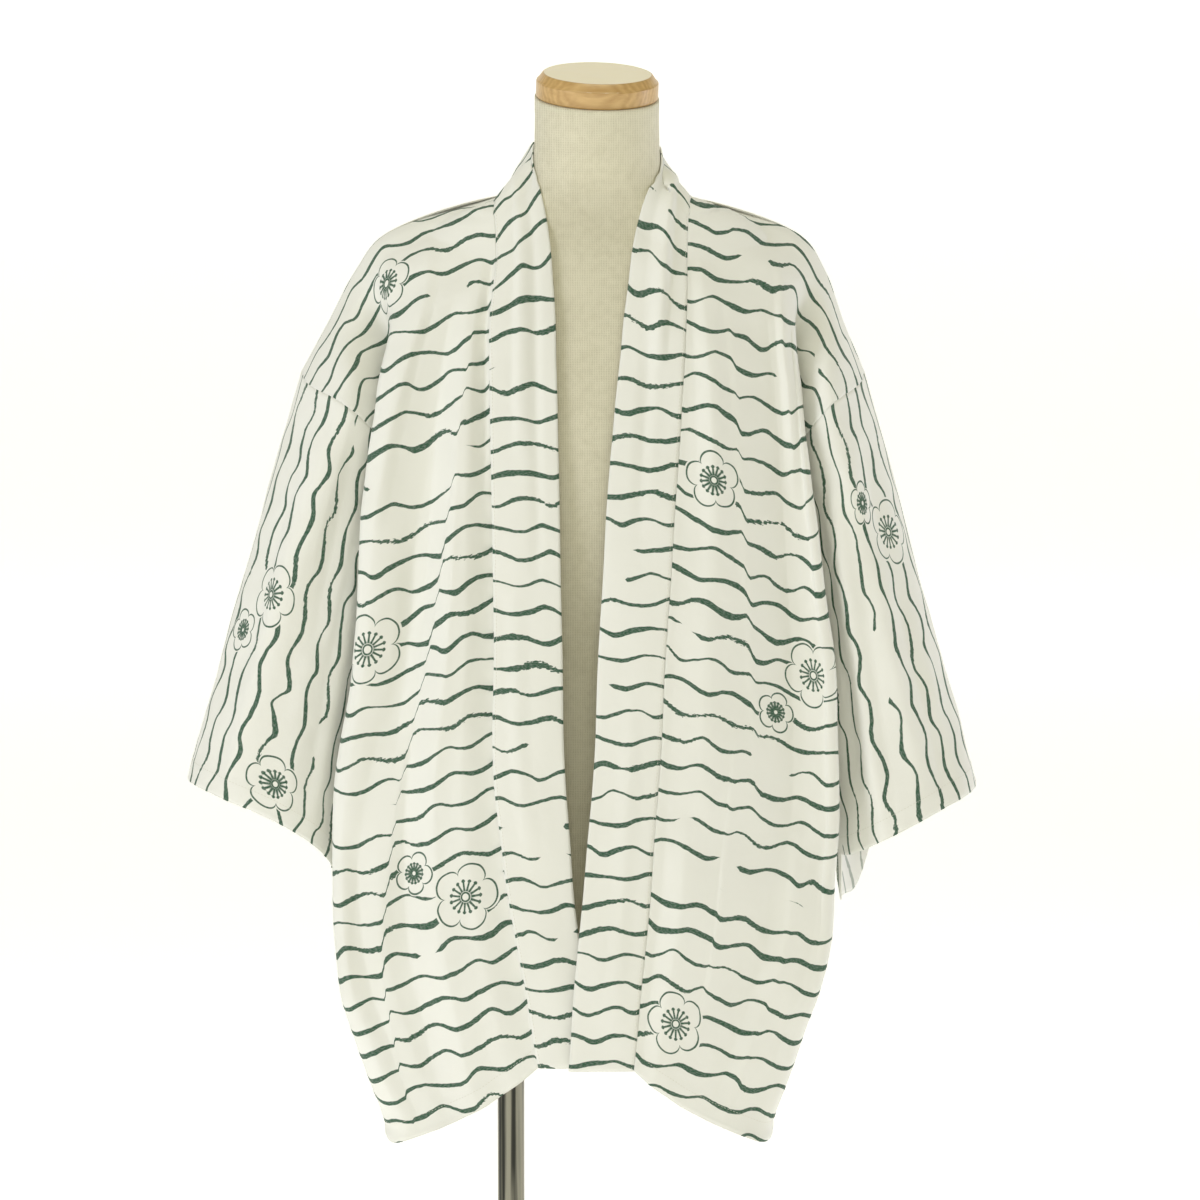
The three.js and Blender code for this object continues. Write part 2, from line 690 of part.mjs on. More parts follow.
function addCoat(group) {
  const fronts = { right: frontGrid("right"), left: frontGrid("left") };
  const back = backGrid(fronts);
  const sleeves = {
    right: sleeveGrid("right", fronts.right, back),
    left: sleeveGrid("left", fronts.left, back),
  };
  const collar = collarGrid(fronts, back);
  const sums = new Map();
  gatherNormals(fronts.right, false, false, sums);
  gatherNormals(fronts.left, true, false, sums);
  gatherNormals(back, true, false, sums);
  gatherNormals(sleeves.right, true, true, sums);
  gatherNormals(sleeves.left, false, true, sums);
  const cloth = (name, grid, edges, closed) => {
    const geometry = wallGeometry(drawBack(grid, edges), normalsOf(grid, sums), COAT.wall, closed);
    addPiece(group, name, geometry, COLOUR.cloth, 0.9, 0);
  };
  const frontEdges = { top: SEAM.panel, first: SEAM.collar, last: SEAM.panel };
  cloth("front_right", fronts.right, frontEdges, false);
  cloth("front_left", fronts.left, frontEdges, false);
  cloth("back", back, { top: SEAM.panel, first: SEAM.panel, last: SEAM.panel }, false);
  const rings = sleeves.right[0].length;
  const extra = sleeves.right[0].map((_, c) => {
    return SEAM.underarm * smooth(2.5 - Math.abs(c - rings / 2) / 1.6);
  });
  cloth("sleeve_right", sleeves.right, { top: SEAM.panel, extra }, true);
  cloth("sleeve_left", sleeves.left, { top: SEAM.panel, extra }, true);
  const collarSums = new Map();
  gatherNormals(collar, false, false, collarSums);
  const band = drawBack(collar, { first: SEAM.turned });
  const geometry = wallGeometry(band, normalsOf(collar, collarSums), COAT.collarWall, false);
  addPiece(group, "collar", geometry, COLOUR.cloth, 0.9, 0);
}

const coatOnForm = new THREE.Group();
coatOnForm.name = "happi_coat_on_dress_form";
addCoat(coatOnForm);
addPiece(coatOnForm, "torso", torsoGeometry(), COLOUR.linen, 0.95, 0);
addPiece(coatOnForm, "neck_cap", capGeometry(), COLOUR.wood, 0.55, 0);
addPiece(coatOnForm, "pole", poleGeometry(), COLOUR.steel, 0.2, 1);
addPiece(coatOnForm, "base_plate", baseGeometry(), COLOUR.plate, 0.4, 1);

export default coatOnForm;
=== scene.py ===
"""A happi coat of printed cotton on a limbless linen dress form: stage, stand and form, then the coat in the
order in which its pieces are cut and sewn. The tables are in millimetres, the meshes in metres."""
import math

import bpy
import numpy as np
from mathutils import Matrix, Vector


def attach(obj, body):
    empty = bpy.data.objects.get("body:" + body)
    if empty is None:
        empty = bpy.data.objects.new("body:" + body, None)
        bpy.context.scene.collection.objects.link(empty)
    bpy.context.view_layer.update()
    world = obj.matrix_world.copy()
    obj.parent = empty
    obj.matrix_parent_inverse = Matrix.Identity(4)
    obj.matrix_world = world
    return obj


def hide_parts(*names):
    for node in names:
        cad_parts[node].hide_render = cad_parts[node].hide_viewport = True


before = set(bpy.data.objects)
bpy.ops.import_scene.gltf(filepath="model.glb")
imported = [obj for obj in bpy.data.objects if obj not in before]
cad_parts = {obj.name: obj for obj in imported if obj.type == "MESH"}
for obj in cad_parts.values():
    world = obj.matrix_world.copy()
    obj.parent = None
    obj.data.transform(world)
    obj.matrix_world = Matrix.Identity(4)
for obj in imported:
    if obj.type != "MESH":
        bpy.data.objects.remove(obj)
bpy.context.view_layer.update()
scene = bpy.context.scene

# ---------------------------------------------------------------- stage, light and camera
# A studio sweep of pale paper in a warm-toned room. A large soft light stands on the wearer's right, a weaker
# one beside the other sleeve, one in front and one above, and a long lens a little above the coat's middle.
# All of this is in metres.
SWEEP = {"half_width": 16.0, "front": -16.0, "back": 9.0, "bend": 2.0, "height": 9.0, "steps": 12}
LIGHTS = {
    "key_light": {"place": (-3.2, -2.2, 2.2), "aim": (0, 0, 0.9), "size": 1.5, "power": 54,
                  "colour": (0.88, 0.895, 1.0)},
    "side_light": {"place": (3.4, 0.5, 1.5), "aim": (0.2, 0, 0.9), "size": 1.5, "power": 34,
                   "colour": (0.84, 0.84, 1.0)},
    "front_light": {"place": (0.2, -4.2, 1.3), "aim": (0, 0, 1.0), "size": 1.6, "power": 20,
                    "colour": (1.0, 0.975, 0.8)},
    "top_light": {"place": (0.1, -0.4, 4.0), "aim": (0, 0, 1.2), "size": 1.6, "power": 35,
                  "colour": (1.0, 0.98, 0.86)},
}
ROOM = {"colour": (1.0, 0.97, 0.60, 1), "strength": 0.17}
CAMERA = {"distance": 4.0, "elevation": math.radians(5), "middle": 0.873, "aside": 0.003, "sensor": 36,
          "sees": 1.2}


def linked(tree, value, socket):
    """Puts a number or another node's output into a socket."""
    if isinstance(value, bpy.types.NodeSocket):
        tree.links.new(value, socket)
    elif value is not None:
        socket.default_value = value


def node(tree, kind, *values, named=None, **settings):
    """Adds a node with its settings and its inputs, in order or named, and gives its first output."""
    made = tree.nodes.new(kind)
    for key, value in settings.items():
        setattr(made, key, value)
    for value, socket in zip(values, made.inputs):
        linked(tree, value, socket)
    for label, value in (named or {}).items():
        linked(tree, value, made.inputs[label])
    return made.outputs[0]


def math_node(tree, operation, *values):
    return node(tree, "ShaderNodeMath", *values, operation=operation)


def new_material(name, metallic=0.0):
    made = bpy.data.materials.new(name)
    made.use_nodes = True
    shader = made.node_tree.nodes["Principled BSDF"]
    shader.inputs["Metallic"].default_value = metallic
    return made, made.node_tree, shader


def mesh_object(name, vertices, faces, materials):
    mesh = bpy.data.meshes.new(name)
    mesh.from_pydata([tuple(v) for v in vertices], [], faces)
    mesh.validate()
    for material in materials:
        mesh.materials.append(material)
    mesh.polygons.foreach_set("use_smooth", [True] * len(mesh.polygons))
    made = bpy.data.objects.new(name, mesh)
    scene.collection.objects.link(made)
    return made


def studio_sweep():
    wide, back, bend = SWEEP["half_width"], SWEEP["back"], SWEEP["bend"]
    turns = [i / SWEEP["steps"] * math.pi / 2 for i in range(SWEEP["steps"] + 1)]
    curve = [(back + bend * math.sin(turn), bend * (1 - math.cos(turn))) for turn in turns]
    rows = [(SWEEP["front"], 0.0), *curve, (back + bend, SWEEP["height"])]
    vertices = [(x, y, z) for y, z in rows for x in (-wide, wide)]
    faces = [(2 * i, 2 * i + 1, 2 * i + 3, 2 * i + 2) for i in range(len(rows) - 1)]
    paper, _, shader = new_material("sweep_paper")
    shader.inputs["Roughness"].default_value = 0.9
    shader.inputs["Base Color"].default_value = (0.93, 0.93, 0.93, 1)
    shader.inputs["Emission Color"].default_value = (1, 0.99, 0.94, 1)
    shader.inputs["Emission Strength"].default_value = 0.66
    return mesh_object("studio_sweep", vertices, faces, [paper])


def soft_light(name, place, aim, size, power, colour):
    lamp = bpy.data.lights.new(name, "AREA")
    lamp.shape = "SQUARE"
    lamp.size = size
    lamp.energy = power
    lamp.color = colour
    made = bpy.data.objects.new(name, lamp)
    made.location = place
    made.rotation_euler = (Vector(aim) - Vector(place)).to_track_quat("-Z", "Y").to_euler()
    scene.collection.objects.link(made)


def studio_camera():
    distance, elevation = CAMERA["distance"], CAMERA["elevation"]
    lens = bpy.data.cameras.new("camera")
    lens.sensor_width = CAMERA["sensor"]
    lens.lens = CAMERA["sensor"] * distance / CAMERA["sees"]
    made = bpy.data.objects.new("camera", lens)
    height = CAMERA["middle"] + distance * math.sin(elevation)
    made.location = (CAMERA["aside"], -distance * math.cos(elevation), height)
    made.rotation_euler = (math.pi / 2 - elevation, 0, 0)
    scene.collection.objects.link(made)
    scene.camera = made


def studio_room():
    world = bpy.data.worlds.new("studio")
    world.use_nodes = True
    background = world.node_tree.nodes["Background"]
    background.inputs["Color"].default_value = ROOM["colour"]
    background.inputs["Strength"].default_value = ROOM["strength"]
    scene.world = world


studio_sweep()
for name, light in LIGHTS.items():
    soft_light(name, **light)
studio_camera()
studio_room()
scene.view_settings.view_transform = "Standard"

# ---------------------------------------------------------------- stand
# A round steel plate with a turned hub, and a chromed steel tube that stands in the hub and carries the
# form off centre. Both are turned and polished; the plate is brushed in circles.
STAND = {"pole_x": -87, "pole": 13.6, "pole_bottom": 13, "pole_middle": 300, "pole_top": 565, "plate": 190,
         "thick": 9, "edge": 2.5}
HUB = {"radius": 25, "top": 22, "height": 39, "bore": 13.95, "depth": 12, "foot": 3, "brow": 4}
MM = 0.001


def ring_faces(rings, steps):
    """Faces over a stack of rings of equal steps, closed by a bottom and a top point that come after them."""
    faces = []
    for k in range(rings - 1):
        for i in range(steps):
            j = (i + 1) % steps
            faces.append((k * steps + i, k * steps + j, (k + 1) * steps + j, (k + 1) * steps + i))
    last, bottom = (rings - 1) * steps, rings * steps
    for i in range(steps):
        j = (i + 1) % steps
        faces.append((bottom, j, i))
        faces.append((bottom + 1, last + i, last + j))
    return faces


def turned(name, profile, centre, steps, materials, lean=0.0, roll=0.0):
    """A closed solid turned about an upright axis through centre; the profile starts and ends on it."""
    rings = [p for p in profile if p[0] > 0]
    angles = np.linspace(0, 2 * math.pi, steps, endpoint=False)
    vertices = [(r * math.cos(a), r * math.sin(a), z) for r, z in rings for a in angles]
    vertices += [(0, 0, profile[0][1]), (0, 0, profile[-1][1])]
    placed = np.array(vertices)
    cos, sin = math.cos(lean), math.sin(lean)
    x = placed[:, 0]
    y, z = placed[:, 1] * cos - placed[:, 2] * sin, placed[:, 1] * sin + placed[:, 2] * cos
    cos, sin = math.cos(roll), math.sin(roll)
    placed = np.stack([x * cos + z * sin, y, z * cos - x * sin], 1) + np.array(centre)
    return mesh_object(name, placed * MM, ring_faces(len(rings), steps), materials)


def soften(obj, width, angle=math.radians(35)):
    """Rounds the hard edges of a turned piece."""
    bevel = obj.modifiers.new("rounded_edges", "BEVEL")
    bevel.width = width * MM
    bevel.segments = 3
    bevel.limit_method = "ANGLE"
    bevel.angle_limit = angle
    bevel.harden_normals = True


def object_place(tree, **mapped):
    """The point's place on the object, turned or scaled by a Mapping node where that is asked for."""
    place = tree.nodes.new("ShaderNodeTexCoord").outputs["Object"]
    return textured(tree, "ShaderNodeMapping", place, **mapped) if mapped else place


def textured(tree, kind, place, settings=(), **inputs):
    """A texture or mapping node fed with a place, its inputs set by name, with _ for a space."""
    named = {label.replace("_", " "): value for label, value in inputs.items()}
    outputs = node(tree, kind, place, named=named, **dict(settings)).node.outputs
    return outputs["Fac"] if "Fac" in outputs else outputs[0]


def noise(tree, place, **inputs):
    return textured(tree, "ShaderNodeTexNoise", place, **inputs)


def waves(tree, place, shape, direction, **inputs):
    settings = {"wave_type": shape, shape.lower() + "_direction": direction}
    return textured(tree, "ShaderNodeTexWave", place, settings, **inputs)


def shaded(tree, driver, *stops):
    """A colour that follows a pattern through (position, colour) stops."""
    ramp = tree.nodes.new("ShaderNodeValToRGB")
    for element, (position, colour) in zip(ramp.color_ramp.elements, stops):
        element.position = position
        element.color = (*colour, 1)
    tree.links.new(driver, ramp.inputs[0])
    return ramp.outputs[0]


def finish_surface(tree, shader, colour, height, bump, rough, roughness):
    """Puts a colour, a bump of (strength, distance) over a height, and a roughness that goes from one value
    to another over a pattern, on a shader."""
    tree.links.new(colour, shader.inputs["Base Color"])
    relief = node(tree, "ShaderNodeBump", *bump, named={"Height": height})
    tree.links.new(relief, shader.inputs["Normal"])
    spread = node(tree, "ShaderNodeMapRange", rough, 0.3, 0.7, *roughness)
    tree.links.new(spread, shader.inputs["Roughness"])


def polished_chrome():
    """Chromed tube, polished lengthwise, so that its relief and roughness are streaked along its axis; its
    colour is painted reflection, dark with lighter streaks along the axis.
    """
    made, tree, shader = new_material("polished_chrome", metallic=1.0)
    polish_streaks_and_painted_reflections = noise(tree, object_place(tree, Scale=(1, 1, 0.02)), Scale=150, Detail=3)
    # Painted reflection: the dark colour and its lengthwise streaks stand in for the dark surroundings the
    # tube mirrors.
    colour = shaded(tree, polish_streaks_and_painted_reflections, (0.40, (0.035, 0.035, 0.03)), (0.60, (0.25, 0.24, 0.19)))
    finish_surface(tree, shader, colour, polish_streaks_and_painted_reflections, (0.1, 0.0002), polish_streaks_and_painted_reflections, (0.045, 0.11))
    return made


def brushed_plate():
    """Bare steel, brushed in circles about the plate's middle and lightly scuffed."""
    made, tree, shader = new_material("brushed_plate", metallic=1.0)
    place = object_place(tree)
    rings = waves(tree, place, "RINGS", "Z", Scale=260, Distortion=1.5)
    scuffs = noise(tree, place, Scale=24, Detail=9, Roughness=0.65)
    colour = shaded(tree, scuffs, (0.38, (0.46, 0.47, 0.48)), (0.62, (0.57, 0.575, 0.58)))
    finish_surface(tree, shader, colour, rings, (0.06, 0.0004), scuffs, (0.29, 0.43))
    return made


def plate_profile():
    wide, thick, edge = STAND["plate"], STAND["thick"], STAND["edge"]
    return [(0, 0), (wide - 1, 0), (wide, 1), (wide, thick - edge), (wide - edge, thick), (0, thick)]


def hub_profile():
    floor, top, bore = STAND["thick"], HUB["height"], HUB["bore"]
    return [(0, floor), (HUB["radius"], floor), (HUB["radius"], floor + HUB["foot"]),
            (HUB["top"] + 1, top - HUB["brow"]), (HUB["top"], top - 1), (bore, top),
            (bore, top - HUB["depth"]), (0, top - HUB["depth"])]


def pole_profile():
    wide, bottom, top = STAND["pole"], STAND["pole_bottom"], STAND["pole_top"]
    return [(0, bottom), (wide, bottom), (wide, STAND["pole_middle"]), (wide, top), (0, top)]


under_form = (STAND["pole_x"], 0, 0)
plate = turned("stand_plate", plate_profile(), (0, 0, 0), 128, [brushed_plate()])
hub = turned("stand_hub", hub_profile(), under_form, 64, [brushed_plate()])
pole = turned("stand_pole", pole_profile(), under_form, 96, [polished_chrome()])
for piece, width in ((plate, 0.8), (hub, 0.6), (pole, 0.5)):
    soften(piece, width)
    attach(piece, "root")
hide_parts("base_plate")
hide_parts("pole")

# ---------------------------------------------------------------- dress form
# A padded, limbless torso and neck under one tight linen cover, which is turned in at the neck and closed
# underneath. The rings are half widths and depths of its sections.


def table(columns, *rows):
    """A string of column names and one list per row, kept as a column of numbers for each name."""
    return dict(zip(columns.split(), np.array(rows, dtype=float).T))


FORM_RINGS = table(
    "z half front back axis lean",
    [470, 150, 88, 100, 0, 0],
    [478, 157, 93, 106, 0, 0],
    [500, 162, 96, 110, 0, 0],
    [570, 168, 99, 115, 0, 0],
    [660, 162, 96, 108, 0, 0],
    [760, 146, 92, 92, 0, 0],
    [860, 151, 99, 96, 0, 0],
    [960, 160, 108, 103, 0, 0],
    [1050, 169, 108, 108, 0, 0],
    [1120, 174, 98, 106, 0, 0],
    [1170, 177, 87, 99, 0, 0],
    [1200, 178, 79, 92, 0, 0],
    [1222, 176, 73, 85, 0, 0],
    [1238, 168, 67, 77, 0, 0],
    [1248, 155, 64, 71, 0, 0],
    [1256, 140, 62, 67, 0, 0],
    [1263, 120, 61, 65, 0, 0],
    [1270, 99, 60, 64, -1, 0],
    [1279, 79, 60, 64, -2, 0],
    [1292, 67, 60, 62, -5, 0.1],
    [1312, 62.8, 61.5, 62, -9, 0.4],
    [1342, 61.3, 61.3, 61.3, -15, 0.8],
    [1371, 61.3, 61.3, 61.3, -20, 1],
)
FORM_SQUARENESS = 2.25
NECK_LEAN, NECK_ROLL = math.radians(14.3), math.radians(1.8)


def read(rows, column, at, by="down"):
    """The value of a column at a distance, as a smooth curve through the rows."""
    keys, values = rows[by], rows[column]
    at = np.asarray(at, dtype=float)
    i = np.searchsorted(keys[1:-1], at, side="left")
    slopes = np.empty(len(keys))
    slopes[1:-1] = (values[2:] - values[:-2]) / (keys[2:] - keys[:-2])
    slopes[0] = (values[1] - values[0]) / (keys[1] - keys[0])
    slopes[-1] = (values[-1] - values[-2]) / (keys[-1] - keys[-2])
    span = keys[i + 1] - keys[i]
    t = np.clip((at - keys[i]) / span, 0, 1)
    start = values[i] + span * slopes[i] * t * (1 - t)
    end = values[i + 1] - span * slopes[i + 1] * t * (1 - t)
    return start + (end - start) * t * t * (3 - 2 * t)


def squared(v, squareness):
    return np.sign(v) * np.abs(v) ** (2 / squareness)


def form_surface(heights, steps):
    angles = np.linspace(0, 2 * math.pi, steps, endpoint=False)
    rings = []
    for z in heights:
        ring = {name: float(read(FORM_RINGS, name, z, "z")) for name in FORM_RINGS}
        depth = np.where(np.sin(angles) < 0, ring["front"], ring["back"])
        y = depth * squared(np.sin(angles), FORM_SQUARENESS)
        x = ring["half"] * squared(np.cos(angles), FORM_SQUARENESS)
        slant = (y * math.tan(NECK_LEAN) - x * math.tan(NECK_ROLL)) * ring["lean"]
        rings.append(np.stack([x, ring["axis"] + y, z + slant], 1))
    return np.array(rings)


def linen():
    """Plain-woven linen: warp and weft ribs, uneven slubs in the thread, and a little yellowing in clouds."""
    made, tree, shader = new_material("form_linen")
    place = object_place(tree)
    threads = []
    for turn, pitch in (((0, 0, 0), 135), ((0, math.pi / 2, 0), 190)):
        turned_place = object_place(tree, Rotation=turn)
        threads.append(waves(tree, turned_place, "BANDS", "X", Scale=pitch, Distortion=2.2, Detail_Scale=1.6))
    weave = math_node(tree, "MAXIMUM", *threads)
    slub = noise(tree, place, Scale=140, Detail=6)
    cloud = math_node(tree, "MULTIPLY", noise(tree, place, Scale=9), 0.2)
    shade = math_node(tree, "MULTIPLY_ADD", slub, 0.22, math_node(tree, "MULTIPLY_ADD", weave, 0.2, cloud))
    colour = shaded(tree, shade, (0.12, (0.49, 0.455, 0.315)), (0.42, (0.735, 0.70, 0.545)))
    relief = math_node(tree, "ADD", weave, slub)
    finish_surface(tree, shader, colour, relief, (0.35, 0.0006), slub, (0.82, 0.93))
    shader.inputs["Sheen Weight"].default_value = 0.25
    shader.inputs["Sheen Roughness"].default_value = 0.5
    return made


# Stretches of the form's height, each with its number of rings, and the cover's turned-in edge at the neck.
FORM_STRETCHES = ((470, 478, 4), (482, 1180, 90), (1184, 1300, 60), (1303, 1371, 27))
FORM_STEPS = 144
TURNED_IN = ((0.985, 0.4), (0.9, 0.3))


def dress_form():
    heights = np.concatenate([np.linspace(*stretch) for stretch in FORM_STRETCHES])
    rings = form_surface(heights, FORM_STEPS)
    neck = rings[-1]
    middle = neck.mean(0)
    edge = [middle + (neck - middle) * share + (0, 0, above) for share, above in TURNED_IN]
    rings = np.concatenate([rings, edge])
    poles = [rings[0].mean(0), middle + (0, 0, TURNED_IN[-1][1])]
    vertices = np.concatenate([rings.reshape(-1, 3), poles])
    return mesh_object("linen_form", vertices * MM, ring_faces(len(rings), FORM_STEPS), [linen()])


form = dress_form()
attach(form, "root")
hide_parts("torso")

# ---------------------------------------------------------------- neck cap
# A turned disc of light hardwood with a chamfered top, clear-lacquered and screwed down on the neck. Its
# sizes are up from the neck's top edge, and it leans with the neck.
CAP = {"radius": 60.3, "top": 53.2, "side": 16.8, "height": 24.6, "gap": 0.35, "foot": 1.2,
       "ledge": (1.4, 0.9), "brow": (1.2, 0.8)}


def blended(tree, share, first, second):
    """One colour going over into another by a share."""
    mix = tree.nodes.new("ShaderNodeMix")
    mix.data_type = "RGBA"
    for value, label in ((share, "Factor"), (first, "A"), (second, "B")):
        linked(tree, value, mix.inputs[label])
    return mix.outputs["Result"]


def light_hardwood():
    """Fine-grained wood with faint growth rings under clear lacquer; its upward-facing top is painted pale
    cream, as painted light from above.
    """
    made, tree, shader = new_material("light_hardwood")
    place = object_place(tree, Rotation=(0.1, 0.06, 0.3), Scale=(1.6, 9.0, 9.0))
    grain = noise(tree, place, Scale=22, Detail=7, Distortion=0.6)
    rings = waves(tree, place, "BANDS", "Y", Scale=7, Distortion=6, Detail=3)
    figure = math_node(tree, "MULTIPLY_ADD", grain, 0.78, math_node(tree, "MULTIPLY", rings, 0.22))
    wood = shaded(tree, figure, (0.25, (0.48, 0.285, 0.10)), (0.75, (0.66, 0.445, 0.19)))
    # Painted light: faces that point upward get a pale cream colour, standing in for light falling on the
    # top.
    normal = tree.nodes.new("ShaderNodeNewGeometry").outputs["Normal"]
    upward = node(tree, "ShaderNodeSeparateXYZ", normal).node.outputs["Z"]
    painted_top_light = node(tree, "ShaderNodeMapRange", upward, 0.93, 0.96, 0.0, 0.8)
    colour = blended(tree, painted_top_light, wood, (0.96, 0.90, 0.68, 1))
    finish_surface(tree, shader, colour, grain, (0.08, 0.0004), grain, (0.28, 0.42))
    shader.inputs["Coat Weight"].default_value = 0.12
    shader.inputs["Coat Roughness"].default_value = 0.16
    return made


def cap_profile():
    wide, side, top, height, gap, foot, (ledge_in, ledge_up), (brow_out, brow_down) = (
        CAP[name] for name in ("radius", "side", "top", "height", "gap", "foot", "ledge", "brow"))
    return [(0, gap), (wide - foot, gap), (wide, gap + foot), (wide, side),
            (wide - ledge_in, side + ledge_up), (top + brow_out, height - brow_down),
            (top, height), (0, height)]


on_neck = (0, float(FORM_RINGS["axis"][-1]), float(FORM_RINGS["z"][-1]))
cap = turned("wooden_neck_cap", cap_profile(), on_neck, 128, [light_hardwood()], NECK_LEAN, NECK_ROLL)
soften(cap, 1.0, math.radians(20))
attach(cap, "root")
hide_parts("neck_cap")

# ---------------------------------------------------------------- back of the coat
# One piece of thin crisp cotton from the shoulder line to the hem, cut round the neck and turned up at the
# bottom. It is a grid over its flat cut: `down` is the distance below the shoulder line, and `across` goes
# from the centre (-1) by the neck (0), the side fold (1) and the tuck (2, 3) to the armhole or side seam (4).
COAT = {"armhole": 300, "shoulder_z": 1276, "tip_z": 1236, "sleeve_top_z": 1101, "neck_depth": 76,
        "neck_drop": 8, "neck_cut": 55, "neck_eases_in": 110, "clear_of_form": 1.6}
HEM = table("across length", [0, 897], [0.35, 921], [1, 937], [2, 928], [4, 912])
CLOTH = {"layer": 0.55, "turn_up": 22, "turn_up_layers": 1.6, "step": 1.2}
SIGN = {"right": -1, "left": 1}
# How much of the left front's overlap each of its grain lines takes, and where the tuck's two lines hang
# between the side fold and the side.
OVERLAP = {"seam": 1.0, "fold": 0.6}
TUCK_HANGS = (0.25, 0.65)
REACH = {
    "right": table(
        "down seam fold turn head side",
        [0, 93, 212, 239, 268, 294],
        [45, 97, 208, 229, 261, 284],
        [110, 99, 199, 203, 238, 250],
        [160, 104, 208, 196, 212, 225],
        [220, 104, 218.5, 199, 195, 206],
        [300, 102.5, 227, 212, 190, 186],
        [460, 100, 239.5, 231, 200, 182],
        [620, 99.5, 258, 252, 218, 190],
        [780, 77, 248, 247, 220, 192],
        [922, 52, 198, 211, 196, 180],
    ),
    "left": table(
        "down seam fold turn head side",
        [0, 80, 202, 226, 246, 266],
        [45, 86, 190, 216, 240, 258],
        [110, 88, 191.5, 192, 222, 232],
        [160, 87, 197, 183, 199, 213],
        [220, 84, 205, 183, 182, 195],
        [300, 79, 214, 199, 176, 173],
        [460, 68.5, 231.5, 222, 190, 168],
        [620, 59.5, 235, 231, 202, 174],
        [780, 47, 214, 216, 196, 172],
        [922, 33, 162, 174, 166, 154],
    ),
}
BEFORE = table(
    "down seam fold turn head side over",
    [0, 0, 0, 0, 0, 0, 0],
    [45, 38, 34, 30, 42, 43, 0],
    [110, 77, 70, 30, 74, 84, 0],
    [160, 97, 84, 28, 58, 76, 0],
    [220, 110, 92, 44, 34, 40, 0],
    [300, 119, 96, 60, 14, -12, 2],
    [460, 125, 98, 64, 16, -14, 5],
    [620, 128, 98, 64, 18, -14, 8],
    [780, 131, 100, 66, 20, -12, 9],
    [922, 132, 104, 70, 24, -10, 10],
)
BEHIND = table(
    "down centre blade fold turn head side drop",
    [0, 76, 0, 0, 0, 0, 0, 0],
    [45, 92, 40, 36, 34, 46, 48, 11],
    [110, 106, 84, 76, 44, 80, 90, 27],
    [160, 114, 102, 92, 40, 62, 80, 48],
    [220, 120, 113, 101, 56, 42, 50, 78],
    [300, 125, 119, 106, 74, 40, 12, 125],
    [460, 130, 125, 109, 80, 44, 14, 285],
    [620, 134, 130, 110, 82, 44, 14, 445],
    [780, 138, 134, 111, 84, 46, 12, 605],
    [922, 141, 137, 114, 88, 48, 10, 745],
)


def rows_from(rows, first, last):
    return {name: column[first:last] for name, column in rows.items()}


def smooth(t):
    c = np.clip(t, 0, 1)
    return c * c * (3 - 2 * c)


def hang(start_down, start_z, plan):
    """Heights along a hanging line of fixed length, from its plan position at each distance down."""
    step = 5.0
    downs = np.arange(start_down, HEM["length"].max() + 2 * step, step)
    x, y = plan(downs)
    sideways = np.hypot(np.diff(x), np.diff(y))
    fall = np.sqrt(np.maximum(step**2 - sideways**2, (step * 0.3) ** 2))
    heights = start_z - np.concatenate([[0], np.cumsum(fall)])
    return lambda down: np.interp(down, downs, heights)


def grain_lines(side, face):
    """The keyed grain lines of one side, front or back, each giving points at distances down."""
    sign, reach = SIGN[side], REACH[side]
    front = face == "front"
    rows, away = (BEFORE, -1) if front else (BEHIND, 1)
    overlaps = front and side == "left"

    def plan(x_key, y_key):
        share = OVERLAP.get(y_key, 0.0) if overlaps else 0.0
        out = lambda down: read(rows, y_key, down) + (read(BEFORE, "over", down) * share if share else 0.0)
        return lambda down: (sign * read(reach, x_key, down), away * out(down))

    def side_plan(down):
        down = np.asarray(down, dtype=float)
        cut = lambda table_of, first, last: read(rows_from(table_of, first, last), "side", down)
        above = sign * cut(reach, 0, 6), away * cut(rows, 0, 6)
        below = sign * cut(reach, 5, 10), cut(BEHIND, 5, 10)
        return tuple(np.where(down > COAT["armhole"], b, a) for a, b in zip(above, below))

    first, fold = plan("seam", "seam" if front else "blade"), plan("fold", "fold")
    first_z, fold_z = hang(0, COAT["shoulder_z"], first), hang(0, COAT["tip_z"], fold)
    side_z = lambda down: COAT["sleeve_top_z"] - read(BEHIND, "drop", down)
    centre = lambda down: (0 * np.asarray(down, dtype=float), read(BEHIND, "centre", down))
    centre_z = hang(COAT["neck_cut"], COAT["shoulder_z"] - COAT["neck_drop"], centre)
    between = lambda share: lambda down: fold_z(down) + (side_z(down) - fold_z(down)) * share
    at = lambda line, z: lambda down: np.stack([*line(down), z(down)], -1)
    lines = [at(first, first_z), at(fold, fold_z)]
    lines += [at(plan(key, key), between(share)) for key, share in zip(("turn", "head"), TUCK_HANGS)]
    lines.append(at(side_plan, side_z))
    return lines if front else [at(centre, centre_z), *lines]


LINES = {side: {face: grain_lines(side, face) for face in ("front", "back")} for side in SIGN}


